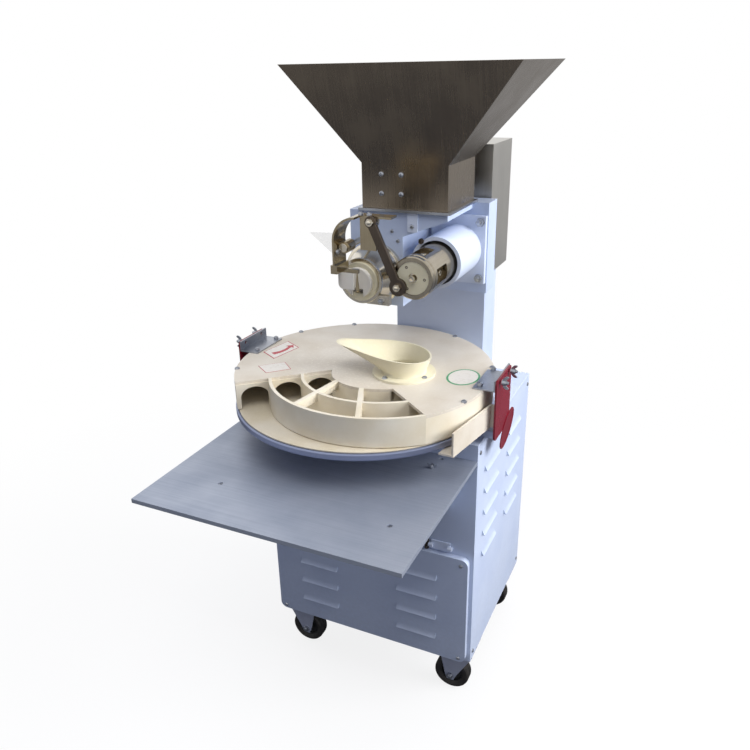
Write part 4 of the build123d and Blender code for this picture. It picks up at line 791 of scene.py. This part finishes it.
def set_fittings(name, places, kind, *nodes, finish=zinc_plate, body="machine", slot="plated_steel"):
    cloud = bpy.data.meshes.new(name)
    cloud.from_pydata([place for place, way, size in places], [], [])
    ways = cloud.attributes.new("way", "FLOAT_VECTOR", "POINT")
    ways.data.foreach_set("vector", [value for place, way, size in places for value in way])
    sizes = cloud.attributes.new("size", "FLOAT", "POINT")
    sizes.data.foreach_set("value", [size for place, way, size in places])
    piece = new_piece(name, cloud)
    tree = piece.modifiers.new("fittings", "NODES")
    tree.node_group = fittings_tree
    tree[sockets["Fitting"]] = patterns[kind]
    tree[sockets["Finish"]] = finish
    settle(piece)
    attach(piece, body)
    if nodes:
        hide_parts(*nodes)
    print(name, len(places), "fittings,", len(piece.data.polygons), "faces")


panel_spots = spots("panel_screws")
tray_spots = [spot for spot in panel_spots if spot[1].z > 0]
side_spots = [spot for spot in panel_spots if spot not in tray_spots]
head_spots = spots("head_bolts")
plate_spots = [spot for spot in head_spots if spot[2] > plate_bolt_least]
small_head_spots = [spot for spot in head_spots if spot not in plate_spots]
rod_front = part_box("cutter_rod")[0].y / MM
front_rod_bolt = at(105.5, rod_front, 1003, to_front, 8)
rod_spots = spots("rod_bolts", y_axis) + [front_rod_bolt]
set_fittings("panel_screws_set", side_spots, "round_head", "panel_screws")
set_fittings("tray_screws_set", tray_spots, "flush_head")
set_fittings("head_screws_set", small_head_spots, "round_head", "head_bolts")
set_fittings("plate_bolts_set", plate_spots, "hexagon_nut")
set_fittings("track_screws_set", spots("track_screws"), "round_head", "track_screws")
set_fittings("drum_bolts_set", spots("drum_bolts"), "socket_head", "drum_bolts", finish=polished_steel,
             body="crank", slot="polished_steel")
set_fittings("rod_bolts_set", rod_spots, "hexagon_nut", "rod_bolts", finish=polished_steel, body="rod",
             slot="dark_steel")
set_fittings("wing_nuts_set", spots("wing_nuts", x_axis), "wing_nut", "wing_nuts")

# %% [markdown]
# ## Wheels
# A castor wheel is a rubber tyre on a plastic centre. The tyre is a closed stack of rings: round shoulders,
# a flat tread with a fine groove and hollow flanks. The centre has a boss for the axle and a thin web.

# %% Wheels
wheel_steps = 48
tyre_rows = [(0.64, -0.72), (0.8, -0.98), (0.92, -1.0), (0.975, -0.86), (1.0, -0.6), (1.0, -0.06),
             (0.985, -0.03), (0.985, 0.03), (1.0, 0.06), (1.0, 0.6), (0.975, 0.86), (0.92, 1.0),
             (0.8, 0.98), (0.64, 0.72)]
centre_rows = [(0.2, -0.95), (0.33, -0.95), (0.36, -0.88), (0.38, -0.4), (0.56, -0.36), (0.6, -0.66),
               (0.65, -0.7), (0.65, 0.7), (0.6, 0.66), (0.56, 0.36), (0.38, 0.4), (0.36, 0.88),
               (0.33, 0.95), (0.2, 0.95)]
for node in ("wheel_front_left", "wheel_front_right", "wheel_rear_left", "wheel_rear_right"):
    low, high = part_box(node)
    radius = (high.z - low.z) / 2
    half = (high.y - low.y) / 2
    stand = Matrix.Translation((low + high) / 2) @ Matrix.Rotation(-math.pi / 2, 4, "X")
    for name, rows, finish, closed in (("tyre", tyre_rows, tyre_rubber, True),
                                       ("centre", centre_rows, gland_plastic, False)):
        rings = [ring(r * radius, h * half, 0, wheel_steps) for r, h in rows]
        piece = new_piece(node + "_" + name, shape_mesh(node + "_" + name, stack(rings, closed)), finish)
        piece.data.transform(stand)
        shade(piece, 40)
        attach(piece, body_of_node[node])
        if closed:
            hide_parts(node)
    print(node, "radius", round(radius / MM, 1), "mm")

# %% [markdown]
# ## Axle nuts
# The solids leave some fittings plain. On the forks it is the nuts at both ends of each axle. Their places
# follow from the wheels' boxes. Those of a front wheel swivel with its fork, so each body has its own set.

# %% Axle nuts
nut_past_wheel = 6 * MM
axle_nut_size = 8.5 * MM
wheels_of_body = {"fork_left": ["wheel_front_left"], "fork_right": ["wheel_front_right"],
                  "machine": ["wheel_rear_left", "wheel_rear_right"]}
for body, wheels in wheels_of_body.items():
    places = []
    for wheel in wheels:
        low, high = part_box(wheel)
        reach = (high.y - low.y) / 2 + nut_past_wheel
        for side in (-1, 1):
            places.append(((low + high) / 2 + Vector((0, side * reach, 0)), Vector((0, side, 0)),
                           axle_nut_size))
    set_fittings("axle_nuts_" + body, places, "hexagon_nut", body=body)

# %% [markdown]
# ## Small fittings of the head, the shelves and the tray
# The head's small fittings are a bolt in the nozzle's lug, three screws and a bolt in the crank's disc, two
# nuts and a screw on the cutter's strap, and screws in the casting and the housing. Bolts hold the bracket
# shelves, and a wing screw stands at the back of the tray. No island marks them, so their places are typed
# in millimetres, and most take the face that they sit on from the frame.

# %% Small fittings that the solids leave plain
to_top = (0, 0, 1)
to_right = (1, 0, 0)
disc_low, disc_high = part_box("crank_disc")
disc_middle = (disc_low + disc_high) / 2 / MM
disc_front = disc_low.y / MM
disc_screw_reach = 24
disc_spots = []
for turn in [math.radians(degrees) for degrees in (-2, 122, 242)]:
    disc_spots.append(at(disc_middle.x + disc_screw_reach * math.cos(turn), disc_front,
                         disc_middle.z + disc_screw_reach * math.sin(turn), to_front, 2.8))
disc_bolt_spot = at(disc_middle.x, disc_front - 1, disc_middle.z, to_front, 6)
strap_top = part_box("cutter_strap")[1].z / MM
casting_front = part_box("head_casting")[0].y / MM
ear_sheet = 3
casting_spots = [at(84.2, casting_front - ear_sheet, 1094, to_front, 4.5),
                 at(39, casting_front, 1081.5, to_front, 4), at(52, casting_front, 1062, to_front, 4)]
housing_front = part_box("crank_housing")[0].y / MM
bracket_sheet = 3
shelf_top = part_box("track_cover")[1].z / MM + bracket_sheet
shelf_places = [(262, 70), (262, -20), (-262, -20), (-262, 60)]
tray_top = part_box("tray")[1].z / MM
set_fittings("lug_bolts", [at(45, -10.5, 953, to_front, 6.5)], "hexagon_nut")
set_fittings("disc_screws", disc_spots, "flush_head", finish=oiled_steel, body="crank", slot="dark_steel")
set_fittings("disc_bolt", [disc_bolt_spot], "socket_head", finish=polished_steel, body="crank",
             slot="polished_steel")
set_fittings("strap_fittings", [at(x, -52, strap_top, to_top, 5.5) for x in (24, 42)], "hexagon_nut",
             body="cutter")
set_fittings("strap_screw", [at(-21, -68, 1062, to_right, 5.5)], "round_head", body="cutter")
set_fittings("casting_screws", casting_spots, "round_head")
set_fittings("housing_screw", [at(99.9, housing_front, 1063.4, to_front, 5.5)], "socket_head",
             finish=oiled_steel, slot="dark_steel")
set_fittings("shelf_bolts", [at(x, y, shelf_top, to_top, 6) for x, y in shelf_places], "hexagon_nut")
set_fittings("tray_wing_screw", [at(196.2, -108.9, tray_top, to_top, 10)], "wing_nut")
for pattern in patterns.values():
    bpy.data.objects.remove(pattern)
print("patterns put away")

# %% [markdown]
# ## Vinyl
# Labels are printed vinyl, a smooth film whose print is scuffed. The eye sees an even colour with small
# worn patches, so each colour has a worn one, and a fine noise mixes the two.

# %% Label finishes
scuff_size = 7


def vinyl(name, colour, worn, roughness):
    material, tree, shader, place = start_finish(name)
    scuffs = add_node(tree, "ShaderNodeTexNoise",
                      {"Vector": place, "Scale": per_mm(scuff_size), "Detail": 6.0})
    share = add_node(tree, "ShaderNodeMapRange", {"Value": scuffs, 1: 0.5, 2: 0.72, 3: 0.0, 4: 0.7})
    tone = add_node(tree, "ShaderNodeMix", {0: share, 6: linear(colour), 7: linear(worn)},
                    data_type="RGBA")
    tree.links.new(tone.outputs[2], shader.inputs["Base Color"])
    shader.inputs["Roughness"].default_value = roughness
    return material


pale_vinyl = vinyl("pale_label_vinyl", "#e4dfd6", "#d3cbbd", 0.35)
red_vinyl = vinyl("red_label_vinyl", "#b3202f", "#c25a5c", 0.35)
green_vinyl = vinyl("green_label_vinyl", "#4f9a6a", "#7fb394", 0.35)
print("vinyls made")

# %% [markdown]
# ## Labels
# Vinyl labels are a tenth of a millimetre thick. Here they are thin sheets laid on the cover, a little
# thicker so that they do not flicker in it: one with a curved arrow that shows which way the turntable goes,
# one bare, one oval with a plain rim. A picture could be wrapped on one sheet, but rim, face and arrow as
# sheets at three heights need no picture file.

# %% Labels
label_sheet = 0.25 * MM
rim_lift, face_lift, arrow_lift = 0.0, 0.2, 0.4
along_x, along_y, along_z = [Vector(way) * MM for way in ((1, 0, 0), (0, 1, 0), (0, 0, 1))]
cover_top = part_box("track_cover")[1].z


def fixed_piece(name, shape, finish, sharp=None):
    piece = new_piece(name, shape_mesh(name, shape), finish)
    if sharp:
        shade(piece, sharp)
    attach(piece, "machine")
    print(name, len(piece.data.polygons), "faces")


def lay_label(name, outline, lift, finish):
    origin = Vector((0, 0, cover_top + lift * MM))
    fixed_piece(name, sheet(outline, origin, along_x, along_y, label_sheet), finish)


def oval(centre, half_x, half_y, steps=48):
    turns = [math.tau * i / steps for i in range(steps)]
    return [(centre[0] + half_x * math.cos(turn), centre[1] + half_y * math.sin(turn)) for turn in turns]


def inset(corners, share):
    middle = [sum(corner[i] for corner in corners) / len(corners) for i in range(2)]
    return [tuple(middle[i] + (corner[i] - middle[i]) * share for i in range(2)) for corner in corners]


arrow_label = [(-246, -20), (-202, -46), (-186, 36), (-230, 62)]
arrow = [(-226, -18), (-214, -24), (-206, -8), (-202, 12), (-203, 30), (-196, 29), (-205, 44), (-219, 33),
         (-211, 31), (-210, 14), (-214, -2)]
bare_label = [(-210.7, -95.4), (-173.2, -122), (-135.7, -82.8), (-168.7, -53.2)]
oval_middle = (215.5, 14.5)
lay_label("arrow_label_rim", arrow_label, rim_lift, red_vinyl)
lay_label("arrow_label", inset(arrow_label, 0.94), face_lift, pale_vinyl)
lay_label("turn_arrow", arrow, arrow_lift, red_vinyl)
lay_label("bare_label_rim", bare_label, rim_lift, red_vinyl)
lay_label("bare_label", inset(bare_label, 0.95), face_lift, pale_vinyl)
lay_label("oval_label_rim", oval(oval_middle, 33.5, 43), rim_lift, green_vinyl)
lay_label("oval_label", oval(oval_middle, 29.5, 38.5), face_lift, pale_vinyl)

# %% [markdown]
# ## Plain badge
# An oval plate sits aslant on the right-hand red plate and is painted like it. It is a stack of ovals, each
# a share of the full size at a height in millimetres: a rounded edge, a raised rim and a sunk bare face.

# %% Plain badge
badge_half_length, badge_half_width = 53, 27
badge_lean = math.radians(28)
badge_along = Vector((0, math.cos(badge_lean), math.sin(badge_lean))) * MM
badge_up = Vector((0, -math.sin(badge_lean), math.cos(badge_lean))) * MM
badge_place = Vector((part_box("side_plates")[1].x, 0.054, 0.686))
badge_rows = [(1, 0), (1, 1.6), (0.98, 2), (0.86, 2), (0.83, 1.2), (0.4, 1.2)]


def badge_ring(share, lift):
    return [badge_place + along_x * lift + badge_along * u + badge_up * v
            for u, v in oval((0, 0), badge_half_length * share, badge_half_width * share)]


fixed_piece("plain_badge", stack([badge_ring(*row) for row in badge_rows]), red_enamel, 50)

# %% [markdown]
# ## Ear under the hopper
# A small painted ear hangs from the hopper's flange over the front of the head, and a screw holds it. It is
# one sheet with round lower corners.

# %% Ear
ear_half, ear_turn = 11.0, 4.0
ear_x, ear_bottom = 85, 1082
ear_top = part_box("hopper_flange")[0].z / MM
ear_outline = [(-ear_half, 0)]
for middle, start in ((-ear_half + ear_turn, 180), (ear_half - ear_turn, 270)):
    ear_outline += [(middle + ear_turn * math.cos(math.radians(angle)),
                     ear_turn - (ear_top - ear_bottom) + ear_turn * math.sin(math.radians(angle)))
                    for angle in range(start, start + 91, 15)]
ear_outline += [(ear_half, 0)]
ear_place = Vector((ear_x, casting_front, ear_top)) * MM
fixed_piece("hopper_ear", sheet(ear_outline, ear_place, along_x, along_z, ear_sheet * MM), white_enamel,
            40)

# %% [markdown]
# ## Latch bolt
# The front cover's latch has a small dark bolt with two knurled ends at its left side. The knurl is a ring
# whose points lie near and far from the middle in turn.

# %% Latch bolt
knurl_radius, knurl_share = 5.2, 0.9
bolt_steps = 36
bolt_rows = [(2.5, 0.0), (knurl_radius, 0.6), (knurl_radius, 8.0), (3.0, 8.6), (3.0, 14.6),
             (knurl_radius, 15.2), (knurl_radius, 22.6), (2.5, 23.2)]
bolt_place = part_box("cover_latch")[0] + Vector((-4, 4, 0)) * MM
bolt_rings = []
for radius, height in bolt_rows:
    row = ring(radius * MM, height * MM, 0, bolt_steps)
    if radius == knurl_radius:
        row = [Vector((p.x, p.y, 0)) * (1 if i % 2 else knurl_share) + Vector((0, 0, p.z))
               for i, p in enumerate(row)]
    bolt_rings.append([point + bolt_place for point in row])
fixed_piece("latch_bolt", stack(bolt_rings), oiled_steel, 40)

# %% [markdown]
# ## Pieces inside
# Motors, belts, bearings and shafts are hidden by the panels, and the plain solids serve well. They keep
# their CAD nodes and only take a finish.

# %% Finishes of the inner pieces
inside = {
    "cabinet_frame": blue_enamel, "gearmotors": motor_enamel, "head_bearings": zinc_plate,
    "head_belt": belt_rubber, "lift_belt": belt_rubber, "turntable_belt": belt_rubber,
    "auger": polished_steel, "crank_shaft": polished_steel, "turntable_shaft": polished_steel,
    "turntable_bearings": zinc_plate, "head_motor_pulley": zinc_plate, "turntable_motor_pulley": zinc_plate,
}
for node, finish in inside.items():
    cad_nodes[node].data.materials.clear()
    cad_nodes[node].data.materials.append(finish)
print(len(inside), "inner pieces finished")

# %% [markdown]
# ## Size
# The dressed machine has to keep the size of the solids. This last cell only updates the view layer.

# %% Sizes and finish
bpy.context.view_layer.update()
